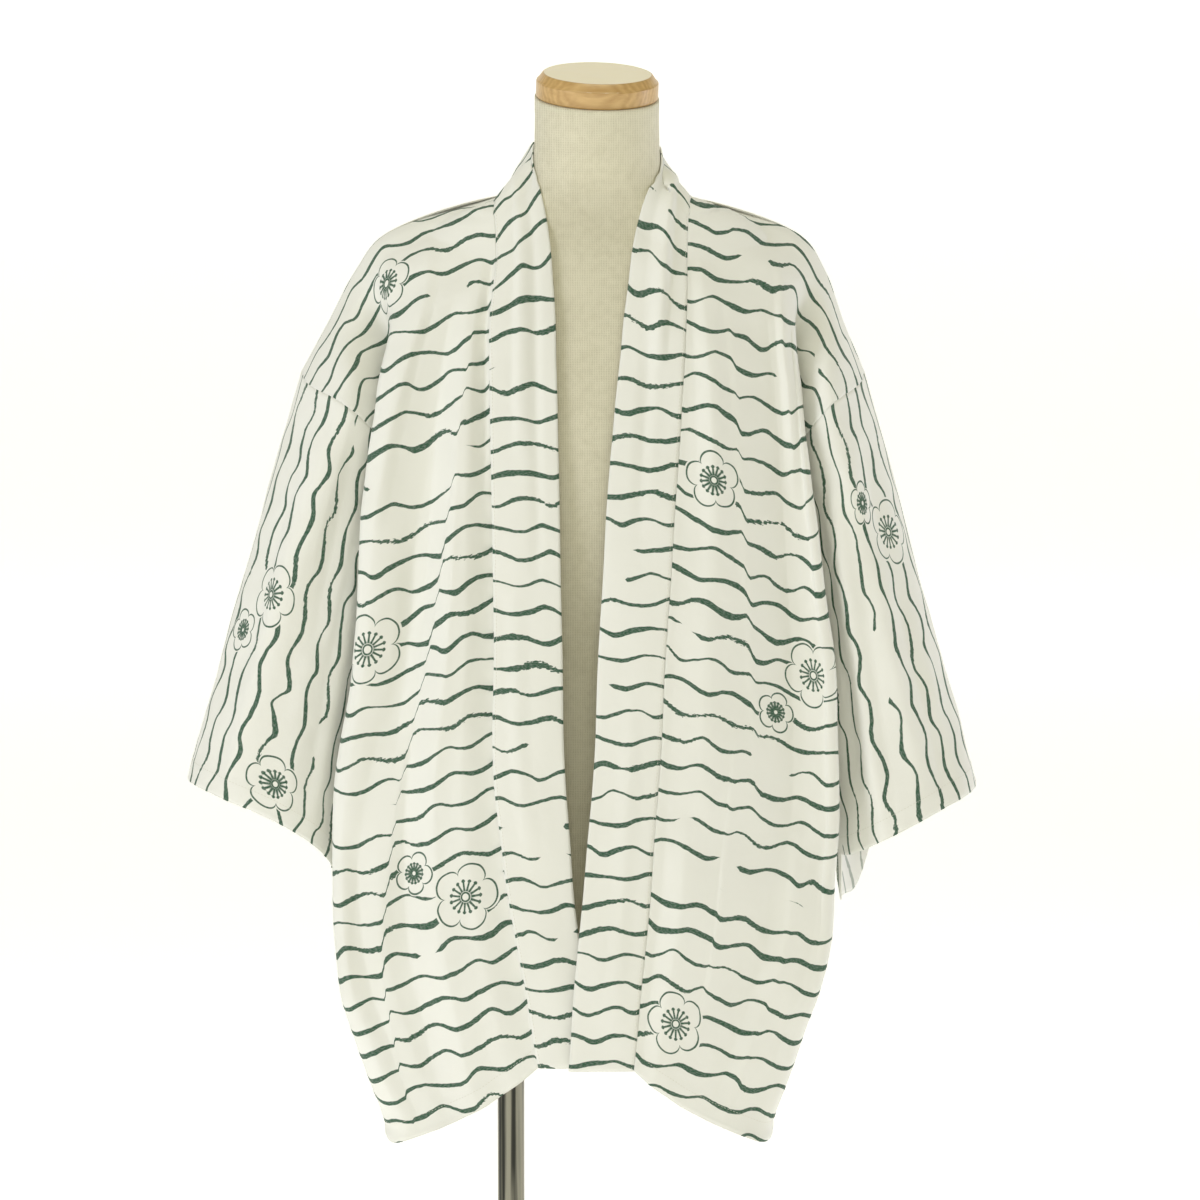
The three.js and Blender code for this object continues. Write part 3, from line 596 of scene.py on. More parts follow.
def through(points, place):
    """Points on the smooth curve through keyed points, at places counted in keys."""
    count = len(points)
    place = np.clip(place, 0, count - 1)
    i = np.minimum(place.astype(int), count - 2)
    w = (place - i)[..., None]
    n = np.arange(points.shape[1])
    p1, p2 = points[i, n], points[i + 1, n]
    p0 = np.where((i > 0)[..., None], points[np.maximum(i - 1, 0), n], 2 * points[0, n] - points[1, n])
    p3 = np.where((i < count - 2)[..., None], points[np.minimum(i + 2, count - 1), n],
                  2 * points[-1, n] - points[-2, n])
    root = lambda a, b: np.maximum(((a - b) ** 2).sum(-1, keepdims=True) ** 0.25, 1e-4)
    d0, d1, d2 = root(p0, p1), root(p1, p2), root(p2, p3)
    m1 = ((p1 - p0) / d0 - (p2 - p0) / (d0 + d1) + (p2 - p1) / d1) * d1
    m2 = ((p2 - p1) / d1 - (p3 - p1) / (d1 + d2) + (p3 - p2) / d2) * d1
    a, b = 2 * p1 - 2 * p2 + m1 + m2, -3 * p1 + 3 * p2 - 2 * m1 - m2
    return ((a * w + b) * w + m1) * w + p1


def form_measure(p):
    """Below 1 inside the dress form, above 1 outside."""
    z = p[:, 2]
    y = p[:, 1] - read(FORM_RINGS, "axis", z, "z")
    depth = np.where(y < 0, read(FORM_RINGS, "front", z, "z"), read(FORM_RINGS, "back", z, "z"))
    half = read(FORM_RINGS, "half", z, "z")
    total = np.abs(p[:, 0] / half) ** FORM_SQUARENESS + np.abs(y / depth) ** FORM_SQUARENESS
    return np.where(z > FORM_RINGS["z"][-1] + 30, 9.0, total ** (1 / FORM_SQUARENESS))


# Points within `near` of the form's measure are moved, and `probe` is how far its slope is felt for.
SETTLING = {"near": 1.6, "probe": 0.5, "tries": 40, "close": 1e-4}


def settle(points, clearance):
    """Moves points out until they are the given distance from the dress form."""
    near, probe = SETTLING["near"], SETTLING["probe"]
    p = points.reshape(-1, 3).copy()
    todo = np.where(form_measure(p) < near)[0]
    for _ in range(SETTLING["tries"]):
        q = p[todo]
        here = form_measure(q)
        rise = np.stack([form_measure(q + probe * axis) - here for axis in np.eye(3)], 1) / probe
        steep = np.maximum(np.linalg.norm(rise, axis=1), 1e-6)
        short = clearance - (here - 1) / steep
        moving = (short > SETTLING["close"]) & (here < near)
        if not moving.any():
            break
        p[todo[moving]] += rise[moving] * (short / steep)[moving, None]
        todo = todo[moving]
    return p.reshape(points.shape)


FOLD_COLUMNS = "across down to_across to_down lift near far lean slip band"
# A fold leans over nothing and slips nothing, over a strip of the last width, where its row doesn't say more.
FOLD_REST = [0, 0, 0.04]
FOLD_SHAPE = {"ends": 0.6, "tent": 0.5, "slip_fades": 1.6}


def fold_table(*rows):
    """A table of folds, whose rows may leave out the last three columns."""
    least = len(FOLD_COLUMNS.split()) - len(FOLD_REST)
    return table(FOLD_COLUMNS, *(row + FOLD_REST[len(row) - least:] for row in rows))


def creased(places, downs, folds):
    """How the listed folds move the cloth: out from the form, sideways over itself, and slipped down its own
    cut beyond their edges.

    Each runs from one place to another. near, far and band are widths in places: before it, behind it, and of
    the strip in which the cut slips.
    """
    tent, fades = FOLD_SHAPE["tent"], FOLD_SHAPE["slip_fades"]
    lift, lean, slip = (np.zeros(np.broadcast(places, downs).shape) for _ in range(3))
    for fold in zip(*(folds[name] for name in FOLD_COLUMNS.split())):
        across, down, to_across, to_down, height, near, far, over, drop, band = fold
        t = (downs - down) / (to_down - down)
        offset = places - (across + (to_across - across) * np.clip(t, 0, 1))
        width = np.where(offset < 0, near, far)
        along = np.sin(math.pi * np.clip(t, 0, 1)) ** FOLD_SHAPE["ends"]
        slope = np.clip(1 - np.abs(offset) / width, 0, 1)
        crest = along * (tent * slope + (1 - tent) * smooth(slope))
        lift += height * crest
        lean += over * crest
        slip += drop * along * smooth(0.5 + offset / band) * smooth(1 - offset / fades)
    return lift, lean, slip


def sheet_normals(points):
    """Normals of a grid of points; columns by rows."""
    along_columns = np.gradient(points, axis=1)
    along_rows = np.gradient(points, axis=0)
    n = np.cross(along_columns, along_rows)
    return n / np.maximum(np.linalg.norm(n, axis=2, keepdims=True), 1e-9)


def arc(points, axis):
    """Length along the rows (axis 1) or columns (axis 0) of a grid, starting at 0."""
    steps = np.linalg.norm(np.diff(points, axis=axis), axis=2)
    pad = ((0, 0), (1, 0)) if axis == 1 else ((1, 0), (0, 0))
    return np.pad(np.cumsum(steps, axis=axis), pad)


def across_places(counts):
    """Places across a panel, in the given numbers of steps from one grain line to the next."""
    places = [0.0]
    for key, count in enumerate(counts):
        places += [key + i / count for i in range(1, count + 1)]
    return np.array(places)


FRONT_STEPS, BACK_STEPS, NECK_STEPS = (84, 14, 14, 12), (30, 10, 10, 9), 18
DOWN_STEPS = {"armhole": 76, "lower": 154}


def downs_at(places):
    """Distances down for every row and column; the rows spread evenly to each grain line's hem."""
    above = np.linspace(0, COAT["armhole"], DOWN_STEPS["armhole"] + 1)[:, None] * np.ones(len(places))
    share = np.linspace(0, 1, DOWN_STEPS["lower"] + 1)[1:, None]
    length = read(HEM, "length", np.maximum(places, 0), "across")
    return np.concatenate([above, COAT["armhole"] + (length - COAT["armhole"]) * share])


def hanging(side, face, places, downs):
    """The grid of points of one side of the coat, front or back, with no small folds yet."""
    flat_places = np.broadcast_to(places, downs.shape).ravel()
    keys = np.array([line(downs.ravel()) for line in LINES[side][face]])
    start = 0 if face == "front" else 1
    return through(keys, flat_places + start).reshape(*downs.shape, 3)


RIPPLE = {"waves": 7, "pitches": (0.6, 1.8), "lengthwise": 0.55}


def ripple(u, v, seed, size):
    """A soft unevenness of crisp cloth: a few crossing waves of fixed random direction."""
    rng = np.random.default_rng(seed)
    total = np.zeros(np.broadcast(u, v).shape)
    for _ in range(RIPPLE["waves"]):
        turn, phase = rng.uniform(0, 2 * math.pi, 2)
        pitch = size * rng.uniform(*RIPPLE["pitches"])
        way = u * math.cos(turn) + RIPPLE["lengthwise"] * v * math.sin(turn)
        total += np.sin(way / pitch * 2 * math.pi + phase)
    return total / RIPPLE["waves"]


def wall(name, points, normals, uv, layers, materials, closed=False, uv_closing=None):
    """A thin closed shell on both sides of a grid, with its flat cut as UV, in metres."""
    rows, columns = points.shape[:2]
    half = (CLOTH["layer"] * layers / 2)[..., None]
    both = np.concatenate([(points + way * normals * half).reshape(-1, 3) for way in (1, -1)])
    count = rows * columns
    ids = np.arange(count).reshape(rows, columns)
    if closed:
        ids = np.concatenate([ids, ids[:, :1]], axis=1)
        uv = np.concatenate([uv, uv_closing], axis=1)
    corner_cuts = np.s_[:-1, :-1], np.s_[1:, :-1], np.s_[1:, 1:], np.s_[:-1, 1:]
    a, b, c, d = (ids[cut].ravel() for cut in corner_cuts)
    ua, ub, uc, ud = (uv[cut].reshape(-1, 2) for cut in corner_cuts)
    outer, outer_uv = np.stack([a, d, c, b], 1), np.stack([ua, ud, uc, ub], 1)
    inner, inner_uv = np.stack([a, b, c, d], 1) + count, np.stack([ua, ub, uc, ud], 1)
    rims, rim_uvs = [], []
    open_edges = [np.s_[0], np.s_[-1, ::-1]] + ([] if closed else [np.s_[::-1, 0], np.s_[:, -1]])
    for edge in open_edges:
        (p, q), (up, uq) = ((line[edge][:-1], line[edge][1:]) for line in (ids, uv))
        rims.append(np.stack([p, p + count, q + count, q], 1))
        rim_uvs.append(np.stack([up, up, uq, uq], 1))
    faces = np.concatenate([outer, inner, *rims])
    face_uv = np.concatenate([outer_uv, inner_uv, *rim_uvs])
    corners = both[outer]
    facing = np.cross(corners[:, 2] - corners[:, 0], corners[:, 3] - corners[:, 1])
    if (facing * normals.reshape(-1, 3)[outer[:, 0]]).sum() < 0:
        faces, face_uv = faces[:, ::-1], face_uv[:, ::-1]
    made = mesh_object(name, both * MM, faces.tolist(), materials)
    mesh = made.data
    layer = mesh.uv_layers.new(name="flat_cut")
    layer.uv.foreach_set("vector", face_uv.reshape(-1).astype(np.float32))
    rim_count = len(faces) - len(outer) - len(inner)
    slots = np.repeat([0, 1, 0], [len(outer), len(inner), rim_count]).astype(np.int32)
    mesh.polygons.foreach_set("material_index", slots)
    mesh.polygons.foreach_set("use_smooth", np.repeat([True, False], [len(outer) + len(inner), rim_count]))
    mesh.update()
    return made


OF_ONE = {"sin": "SINE", "cos": "COSINE", "abs": "ABSOLUTE", "floor": "FLOOR", "sqrt": "SQRT"}
OF_TWO = {"add": "ADD", "sub": "SUBTRACT", "mul": "MULTIPLY", "div": "DIVIDE", "min": "MINIMUM",
          "max": "MAXIMUM", "pow": "POWER", "atan2": "ARCTAN2"}


def calc(tree, text, **names):
    """Math nodes for a small formula in prefix words, such as 'add a mul b 2'."""
    words = text.split()

    def value():
        word = words.pop(0)
        if word in OF_ONE:
            return math_node(tree, OF_ONE[word], value())
        if word in OF_TWO:
            return math_node(tree, OF_TWO[word], value(), value())
        return names[word] if word in names else float(word)

    return value()


def worked_out(tree, values, **formulas):
    """The values with the result of each named formula added, so that the next ones can use it."""
    values = dict(values)
    for name, text in formulas.items():
        values[name] = calc(tree, text, **values)
    return values


def noise_of(tree, x, y, scale, detail):
    place = node(tree, "ShaderNodeCombineXYZ", x, y, 0.0)
    named = {"Scale": scale, "Detail": detail}
    return node(tree, "ShaderNodeTexNoise", place, named=named, noise_dimensions="2D")


def group_of(name, inputs, outputs):
    """An empty shader group with named numbers in and out."""
    tree = bpy.data.node_groups.new(name, "ShaderNodeTree")
    for label in inputs:
        tree.interface.new_socket(label, in_out="INPUT", socket_type="NodeSocketFloat")
    for label in outputs:
        tree.interface.new_socket(label, in_out="OUTPUT", socket_type="NodeSocketFloat")
    start, end = tree.nodes.new("NodeGroupInput"), tree.nodes.new("NodeGroupOutput")
    return tree, start.outputs, end.inputs


# The strokes: spacing, wavelength, height and breadth in metres, the share of slower, quicker and shaky waves
# in them, how far they drift and sag, and how their breadth and dryness vary.
PRINT = {"pitch": 0.0265, "wavelength": 0.058, "swing": 0.0038, "breadth": 0.00156, "slow": 0.28,
         "quick": 0.13, "shaky": 0.5, "drifts": 5.2, "sags": 0.004, "least": 0.5, "brushed": 1.6,
         "sloped": 0.28, "frayed": 0.0006, "full_turn": 6.2832, "row_step": 0.73}
GAPS = (0.28, 0.31, -1.6, 1.0)
DRY_ENDS = (0.55, 0.75, 0.0, 0.0052)
INK_EDGE = (-0.00025, 0.0003, 1.0, 0.0)


# What wavers along a stroke: a noise on a track of its own, with its scale and detail.
WAVERS = {"drift": (0, 7.0, 1.0), "hand": (30, 95.0, 1.0), "size": (40, 9.0, 1.0), "level": (0, 2.5, 0.0),
          "brush": (11, 26.0, 2.0), "gaps": (90, 6.5, 1.0), "dryness": (60, 11.0, 1.0)}
STROKE = {
    "start": "add div mul u full_turn wavelength mul drift drifts",
    "phase": "add start mul chance 6.28",
    "slower": "mul slow sin add mul phase 0.5 mul chance 3",
    "quicker": "mul quick sin add mul phase 2 mul chance 5",
    "shake": "mul shaky sub hand 0.5",
    "height": "mul swing add 0.3 mul size 1.35",
    "wave": "mul height add add sin phase shake add slower quicker",
    "middle": "mul add row 0.5 pitch",
    "sag": "mul sags sub level 0.5",
    "far": "abs add sub sub v middle wave sag",
    "slope": "mul sloped sin add phase 0.9",
    "width": "mul breadth add add least mul brush brushed slope",
    "heavy": "mul width add 0.72 mul weight 0.6",
    "fray": "mul add frayed dry sub skips 0.5",
    "edge": "sub add far fray mul heavy present",
}


def brushed_waves_group():
    """Brushed wavy lines across the cloth: how much ink lies at (u, v) of the flat cut."""
    tree, given, result = group_of("brushed_waves", ["u", "v"], ["ink"])
    spread = lambda value, ends: node(tree, "ShaderNodeMapRange", value, *ends)
    known = {"u": given["u"], "v": given["v"], **PRINT}
    known = worked_out(tree, known, row="floor div v pitch", apart="mul row row_step", stretched="mul u 0.4")
    chances = node(tree, "ShaderNodeTexWhiteNoise", noise_dimensions="1D", named={"W": known["row"]}).node
    known["chance"] = chances.outputs["Value"]
    known["weight"] = node(tree, "ShaderNodeSeparateColor", chances.outputs["Color"]).node.outputs[1]
    for name, (track, scale, detail) in WAVERS.items():
        on_track = calc(tree, "add apart track", track=track, **known)
        known[name] = noise_of(tree, known["u"], on_track, scale, detail)
    known["present"], known["dry"] = spread(known["gaps"], GAPS), spread(known["dryness"], DRY_ENDS)
    known["skips"] = noise_of(tree, known["stretched"], known["v"], 520.0, 2.0)
    linked(tree, spread(worked_out(tree, known, **STROKE)["edge"], INK_EDGE), result["ink"])
    return tree


BLOSSOM_INPUTS = ["u", "v", "across", "down", "size", "turn"]


PETALS = {
    "x": "div sub u across size",
    "y": "div sub v down size",
    "r": "add sqrt add mul x x mul y y mul 0.10 sub waver 0.5",
    "angle": "add atan2 y x turn",
    "petal": "pow abs cos mul angle 2.5 0.5",
    "rim": "abs sub r add 0.66 mul petal 0.34",
    "spoke": "div mul r abs sin mul angle 7.5 7.5",
    "stamen": "max spoke max sub 0.2 r sub r 0.42",
    "short": "sub r 0.47",
    "dot": "sub sqrt add mul short short mul spoke spoke 0.022",
    "heart": "abs sub r 0.13",
    "from_line": "sub mul min min rim stamen min dot heart size 0.00085",
    "from_petals": "sub r add 0.74 mul petal 0.34",
}


def blossom_group():
    """An outlined five-petal plum blossom: the ink of its lines, and 1 where it keeps the waves away."""
    tree, given, result = group_of("plum_blossom", BLOSSOM_INPUTS, ["ink", "kept_clear"])
    known = {label: given[label] for label in BLOSSOM_INPUTS}
    known["waver"] = noise_of(tree, given["u"], given["v"], 45.0, 1.0)
    known = worked_out(tree, known, **PETALS)
    line = node(tree, "ShaderNodeMapRange", known["from_line"], -0.0002, 0.0003, 1.0, 0.0)
    clear = node(tree, "ShaderNodeMapRange", known["from_petals"], 0.0, 0.02, 1.0, 0.0)
    linked(tree, line, result["ink"])
    linked(tree, clear, result["kept_clear"])
    return tree


WAVES, BLOSSOM = brushed_waves_group(), blossom_group()


# How much of the ink shows on the printed face and through on the inside, and the cloth and ink colours.
INK = {"outside": 1.0, "inside": 0.55, "colour": (0.030, 0.094, 0.054, 1)}
GROUND = {"low": (0.83, 0.828, 0.765, 1), "high": (0.88, 0.88, 0.835, 1), "threads": 5200}


def printed_cotton(name, blossoms, strength, shift):
    """Thin plain-woven cotton, off-white, printed by hand. strength is how much ink this face shows."""
    made, tree, shader = new_material(name)
    uv = tree.nodes.new("ShaderNodeUVMap")
    uv.uv_map = "flat_cut"
    u, v = node(tree, "ShaderNodeSeparateXYZ", uv.outputs[0]).node.outputs[:2]
    strokes = tree.nodes.new("ShaderNodeGroup")
    strokes.node_tree = WAVES
    linked(tree, calc(tree, "add u shift", u=u, shift=shift[0]), strokes.inputs["u"])
    linked(tree, calc(tree, "add v shift", v=v, shift=shift[1]), strokes.inputs["v"])
    ink, lines, clear = strokes.outputs[0], 0.0, 0.0
    for blossom in blossoms:
        one = tree.nodes.new("ShaderNodeGroup")
        one.node_tree = BLOSSOM
        for label, value in zip(BLOSSOM_INPUTS, (u, v, *blossom)):
            linked(tree, value, one.inputs[label])
        lines = calc(tree, "max a b", a=lines, b=one.outputs["ink"])
        clear = calc(tree, "max a b", a=clear, b=one.outputs["kept_clear"])
    if blossoms:
        ink = calc(tree, "max lines mul ink sub 1 clear", lines=lines, ink=ink, clear=clear)
    dry = noise_of(tree, calc(tree, "mul u 0.35", u=u), v, 900.0, 3.0)
    body = node(tree, "ShaderNodeMapRange", dry, 0.3, 0.6, 0.86 * strength, strength)
    ink = calc(tree, "mul ink body", ink=ink, body=body)
    weave = calc(tree, "mul sin mul u threads sin mul v threads", u=u, v=v, threads=GROUND["threads"])
    cloud = noise_of(tree, u, v, 9.0, 3.0)
    mottle = calc(tree, "add cloud mul 0.1 weave", cloud=cloud, weave=weave)
    colour = blended(tree, ink, blended(tree, mottle, GROUND["low"], GROUND["high"]), INK["colour"])
    crumple = noise_of(tree, u, v, 38.0, 4.0)
    height = calc(tree, "add mul weave 0.00006 mul crumple 0.0011", weave=weave, crumple=crumple)
    finish_surface(tree, shader, colour, height, (0.5, 1.0), crumple, (0.82, 0.9))
    shader.inputs["Sheen Weight"].default_value = 0.12
    shader.inputs["Sheen Roughness"].default_value = 0.4
    return made


def both_faces(name, blossoms, shift=(0.0, 0.0)):
    return [printed_cotton(name, blossoms, INK["outside"], shift),
            printed_cotton(name + "_inside", blossoms, INK["inside"], shift)]


def hem_layers(distance):
    """Layers of cloth at a distance from the lower edge, with the fold-over of the turn-up."""
    return 1 + CLOTH["turn_up_layers"] * smooth((CLOTH["turn_up"] - distance) / CLOTH["step"])


# Crossing waves of crisp cloth: (seed, size, height) in turn.
BACK_RIPPLES = ((5, 95, 3.4), (6, 38, 0.9))
# How far below the shoulder the ripples have come in, how wide they fade out beside the side seam (4), and
# the place where the folds end, with the width over which they fade.
BACK_FADES = {"below": 260, "at_side": 0.6, "folds_end": 3.8, "folds_fade": 0.8}
SIDE_SEAM = 4


def rippled(u, v, waves_of):
    """The crossing waves of a panel, added up."""
    return sum(ripple(u, v, seed, size) * height for seed, size, height in waves_of)


def neckline(side, places):
    turn = -places * math.pi / 2
    return np.stack([SIGN[side] * REACH[side]["seam"][0] * np.cos(turn), COAT["neck_depth"] * np.sin(turn),
                     COAT["shoulder_z"] - COAT["neck_drop"] * np.sin(turn)], -1)


BACK_FOLDS = {
    "right": fold_table(
        [0.55, 130, 0.78, 930, 11, 0.22, 0.3, 2, 4],
        [0.1, 200, 0.02, 820, 7, 0.12, 0.26, -3],
        [-0.5, 300, -0.42, 925, 6, 0.25, 0.16],
        [0.3, 540, 0.42, 935, 8, 0.14, 0.2, 2],
        [0.85, 420, 0.95, 760, -7, 0.1, 0.12],
    ),
    "left": fold_table(
        [0.6, 150, 0.7, 930, 10, 0.18, 0.3, 2, 4],
        [0.0, 230, 0.16, 760, 7, 0.26, 0.12],
        [-0.35, 380, -0.55, 920, -7, 0.16, 0.3],
        [0.35, 580, 0.28, 930, -7, 0.18, 0.14],
    ),
}


def half_back(side):
    """One side of the back from its centre line: places, distances down and points, drawn to the neck cut."""
    places = np.concatenate([np.linspace(-1, 0, NECK_STEPS + 1)[:-1], across_places(BACK_STEPS)])
    downs = downs_at(places)
    start = COAT["neck_cut"] * np.sin(np.clip(-places, 0, 1) * math.pi / 2)
    length = read(HEM, "length", np.maximum(places, 0), "across")
    lower = start + downs * (1 - start / length)
    points = hanging(side, "back", places, lower)
    inside = places < 0
    miss = neckline(side, places[inside]) - hanging(side, "back", places[inside], start[None, inside])[0]
    points[:, inside] += miss[None] * (1 - smooth(downs[:, inside] / COAT["neck_eases_in"]))[..., None]
    return places, lower, points


def mirrored(left, right):
    """Two half grids that start at the same centre line, made one from the left side to the right."""
    return np.concatenate([left[:, ::-1], right[:, 1:]], axis=1)


def coat_back():
    (left_places, *left), (right_places, *right) = half_back("left"), half_back("right")
    places = np.concatenate([left_places[::-1], right_places[1:]])
    downs, points = (mirrored(*pair) for pair in zip(left, right))
    moved_left = creased(left_places, left[0], BACK_FOLDS["left"])
    moved_right = creased(right_places, right[0], BACK_FOLDS["right"])
    lift, lean, slip = (mirrored(*pair) for pair in zip(moved_left, moved_right))
    normals = -sheet_normals(points)
    u = arc(points, 1)
    middle = len(left_places) - 1
    u = u - u[:, middle:middle + 1]
    fades = BACK_FADES
    loose = smooth(downs / fades["below"]) * smooth((SIDE_SEAM - places) / fades["at_side"])
    inner = smooth((fades["folds_end"] - places) / fades["folds_fade"])
    lift = lift * inner + rippled(u, downs, BACK_RIPPLES) * loose
    sideways = np.sign(points[..., :1]) * np.array([-1.0, 0, 0]) * (lean * inner)[..., None]
    points = settle(points + normals * lift[..., None] + sideways, COAT["clear_of_form"])
    to_hem = read(HEM, "length", np.maximum(places, 0), "across")[None] - downs
    uv = np.stack([u * MM, (slip * inner - downs) * MM], -1)
    return points, -sheet_normals(points), uv, to_hem, places


# Plum blossoms in the print: (across, down) on the flat cut in metres, size and turn.
BACK_BLOSSOMS = [(-0.21, -0.20, 0.034, 0.3), (-0.165, -0.245, 0.022, 1.1), (0.13, -0.40, 0.036, 0.8),
                 (0.185, -0.445, 0.024, 0.1), (-0.10, -0.66, 0.035, 2.2), (-0.155, -0.70, 0.022, 0.6),
                 (0.19, -0.80, 0.030, 1.7)]
back_points, back_normals, back_uv, back_to_hem, back_places = coat_back()
back_cotton = both_faces("back_cotton", BACK_BLOSSOMS)
back = wall("coat_back", back_points, back_normals, back_uv, hem_layers(back_to_hem), back_cotton)
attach(back, "root")
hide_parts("back")

# ---------------------------------------------------------------- fronts of the coat
# Two pieces, each from the collar seam round the side to the side seam, sewn to the back at the shoulder,
# the side and, with the sleeve, the armhole. The left one hangs over the right one at the bottom.
FRONT_FOLDS = {
    "right": fold_table(
        [0.13, 150, 0.81, 930, 10, 0.3, 0.2, 2, 15, 0.016],
        [0.36, 120, 0.57, 930, -25, 0.17, 0.38],
        [0.012, 130, 0.012, 940, -14, 0.02, 0.17],
        [0.04, 60, 0.07, 330, -6, 0.04, 0.09],
        [0.55, 40, 0.82, 330, 4, 0.12, 0.2, 2],
        [0.34, 700, 0.4, 940, 4, 0.14, 0.22, 2, 2],
        [0.78, 620, 0.76, 940, -7, 0.14, 0.12],
        [0.5, 330, 0.56, 560, -5, 0.1, 0.1],
    ),
    "left": fold_table(
        [0.23, 60, 0.26, 940, 6, 0.2, 0.5],
        [0.66, 90, 0.66, 940, -25, 0.46, 0.66],
        [0.34, 130, 0.48, 640, 2, 0.05, 0.2, 1, 11],
        [0.36, 540, 0.34, 860, 3, 0.03, 0.12, 4, 4],
        [0.1, 60, 0.28, 420, 4, 0.1, 0.14],
        [0.16, 640, 0.14, 925, 6, 0.1, 0.12, 1],
        [0.72, 620, 0.62, 940, 5, 0.1, 0.22, -2, 3],
        [0.86, 60, 0.78, 300, 5, 0.1, 0.16, 2, 3],
    ),
}
FRONT_RIPPLES = {"right": ((11, 90, 2.8), (13, 34, 0.8)), "left": ((12, 90, 2.8), (14, 34, 0.8))}
# As for the back, and how near to the collar seam the folds and the ripples fade out.
FRONT_FADES = {"below": 240, "at_side": 0.5, "folds_end": 1.7, "folds_fade": 0.6, "folds_seam": 0.012,
               "seam": 0.25}
# How far the shoulder seam slants down over the straight grain by its tip, and where that has evened out.
SHOULDER_CUT = {"right": 18, "left": 36, "gone_at": 460}
# Where the print of a piece starts on its flat cut, in metres.
FRONT_PRINT = {"right": (0.0, 0.0), "left": (0.31, 0.006)}
FRONT_BLOSSOMS = {
    "right": [(0.12, 0.085, 0.027, 0.4), (0.135, 0.43, 0.034, 1.3), (0.175, 0.385, 0.021, 0.2),
              (0.045, 0.715, 0.033, 2.0), (0.097, 0.68, 0.021, 0.9)],
    "left": [(0.036, 0.31, 0.027, 0.5), (0.16, 0.46, 0.033, 1.0), (0.12, 0.508, 0.02, 0.1),
             (0.042, 0.84, 0.031, 1.9)],
}


def coat_front(side):
    places = across_places(FRONT_STEPS)
    downs = downs_at(places)
    points = hanging(side, "front", places, downs)
    turned_round = -SIGN[side]
    normals = turned_round * sheet_normals(points)
    lift, lean, slip = creased(places, downs, FRONT_FOLDS[side])
    fades = FRONT_FADES
    inner = smooth((fades["folds_end"] - places) / fades["folds_fade"]) * smooth(places / fades["folds_seam"])
    loose = smooth(downs / fades["below"]) * smooth(places / fades["seam"])
    loose = loose * smooth((SIDE_SEAM - places) / fades["at_side"])
    u = arc(points, 1)
    lift = lift * inner + rippled(u, downs, FRONT_RIPPLES[side]) * loose
    sideways = SIGN[side] * np.array([-1.0, 0, 0]) * (lean * inner)[..., None]
    points = settle(points + normals * lift[..., None] + sideways, COAT["clear_of_form"])
    to_hem = read(HEM, "length", np.maximum(places, 0), "across")[None] - downs
    slanted = SHOULDER_CUT[side] * np.minimum(places, 1) * smooth(1 - downs / SHOULDER_CUT["gone_at"])
    uv = np.stack([u * MM, (downs - slip * inner + slanted) * MM], -1)
    return points, turned_round * sheet_normals(points), uv, to_hem


FRONTS = {side: coat_front(side) for side in SIGN}
for side, (points, normals, uv, to_hem) in FRONTS.items():
    cotton = both_faces(f"front_{side}_cotton", FRONT_BLOSSOMS[side], FRONT_PRINT[side])
    front = wall(f"coat_front_{side}", points, normals, uv, hem_layers(to_hem), cotton)
    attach(front, "root")
    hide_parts(f"front_{side}")

# ---------------------------------------------------------------- sleeves
# Each is one rectangle, folded along the top, sewn to the armhole and closed below, with a turned-up cuff.
# A cuff's outer and inner ends are given by their distance from the middle and their height.
CUFFS = {
    "right": {"outer": 410, "inner": 264, "outer_z": 697, "inner_z": 591, "front": 80, "back": 78,
              "front_lift": 0, "front_rise": 0.42},
    "left": {"outer": 380, "inner": 246, "outer_z": 691, "inner_z": 570, "front": 78, "back": 78,
             "front_lift": 48, "front_rise": 0.9},
}
CUFF = {"squareness": 2.5, "rise": 0.42, "flap_from": 0.08, "flap": 0.35, "length": 405, "steps": 100,
        "loose_from_armhole": 60, "loose_from_underarm": 40}
SLEEVE_RIPPLES = {"right": ((21, 80, 2.4), (23, 32, 0.8)), "left": ((22, 80, 2.4), (24, 32, 0.8))}
SLEEVE_PRINT = {"right": (0.5, 0.0), "left": (0.9, 0.004)}
SLEEVE_FOLDS = {
    "right": fold_table(
        [0.16, 30, 0.2, 420, 7, 0.04, 0.07],
        [0.33, 50, 0.37, 430, 5, 0.03, 0.05],
        [0.25, 0, 0.27, 240, -5, 0.03, 0.04],
        [0.72, 40, 0.66, 420, 8, 0.05, 0.06],
        [0.86, 120, 0.9, 420, -7, 0.05, 0.05],
    ),
    "left": fold_table(
        [0.13, 40, 0.18, 430, -7, 0.05, 0.06],
        [0.26, 60, 0.31, 430, 8, 0.03, 0.05],
        [0.4, 60, 0.41, 300, 7, 0.02, 0.04],
        [0.68, 30, 0.74, 430, 8, 0.05, 0.05],
        [0.9, 100, 0.86, 430, 6, 0.04, 0.06],
    ),
}
SLEEVE_BLOSSOMS = {
    "right": [(0.2, 0.10, 0.031, 0.9), (0.245, 0.062, 0.021, 0.2), (0.37, 0.16, 0.026, 1.6),
              (0.12, -0.1, 0.03, 0.7)],
    "left": [(0.14, 0.07, 0.032, 1.4), (0.1, 0.11, 0.021, 0.3), (0.2, -0.12, 0.03, 0.4)],
}


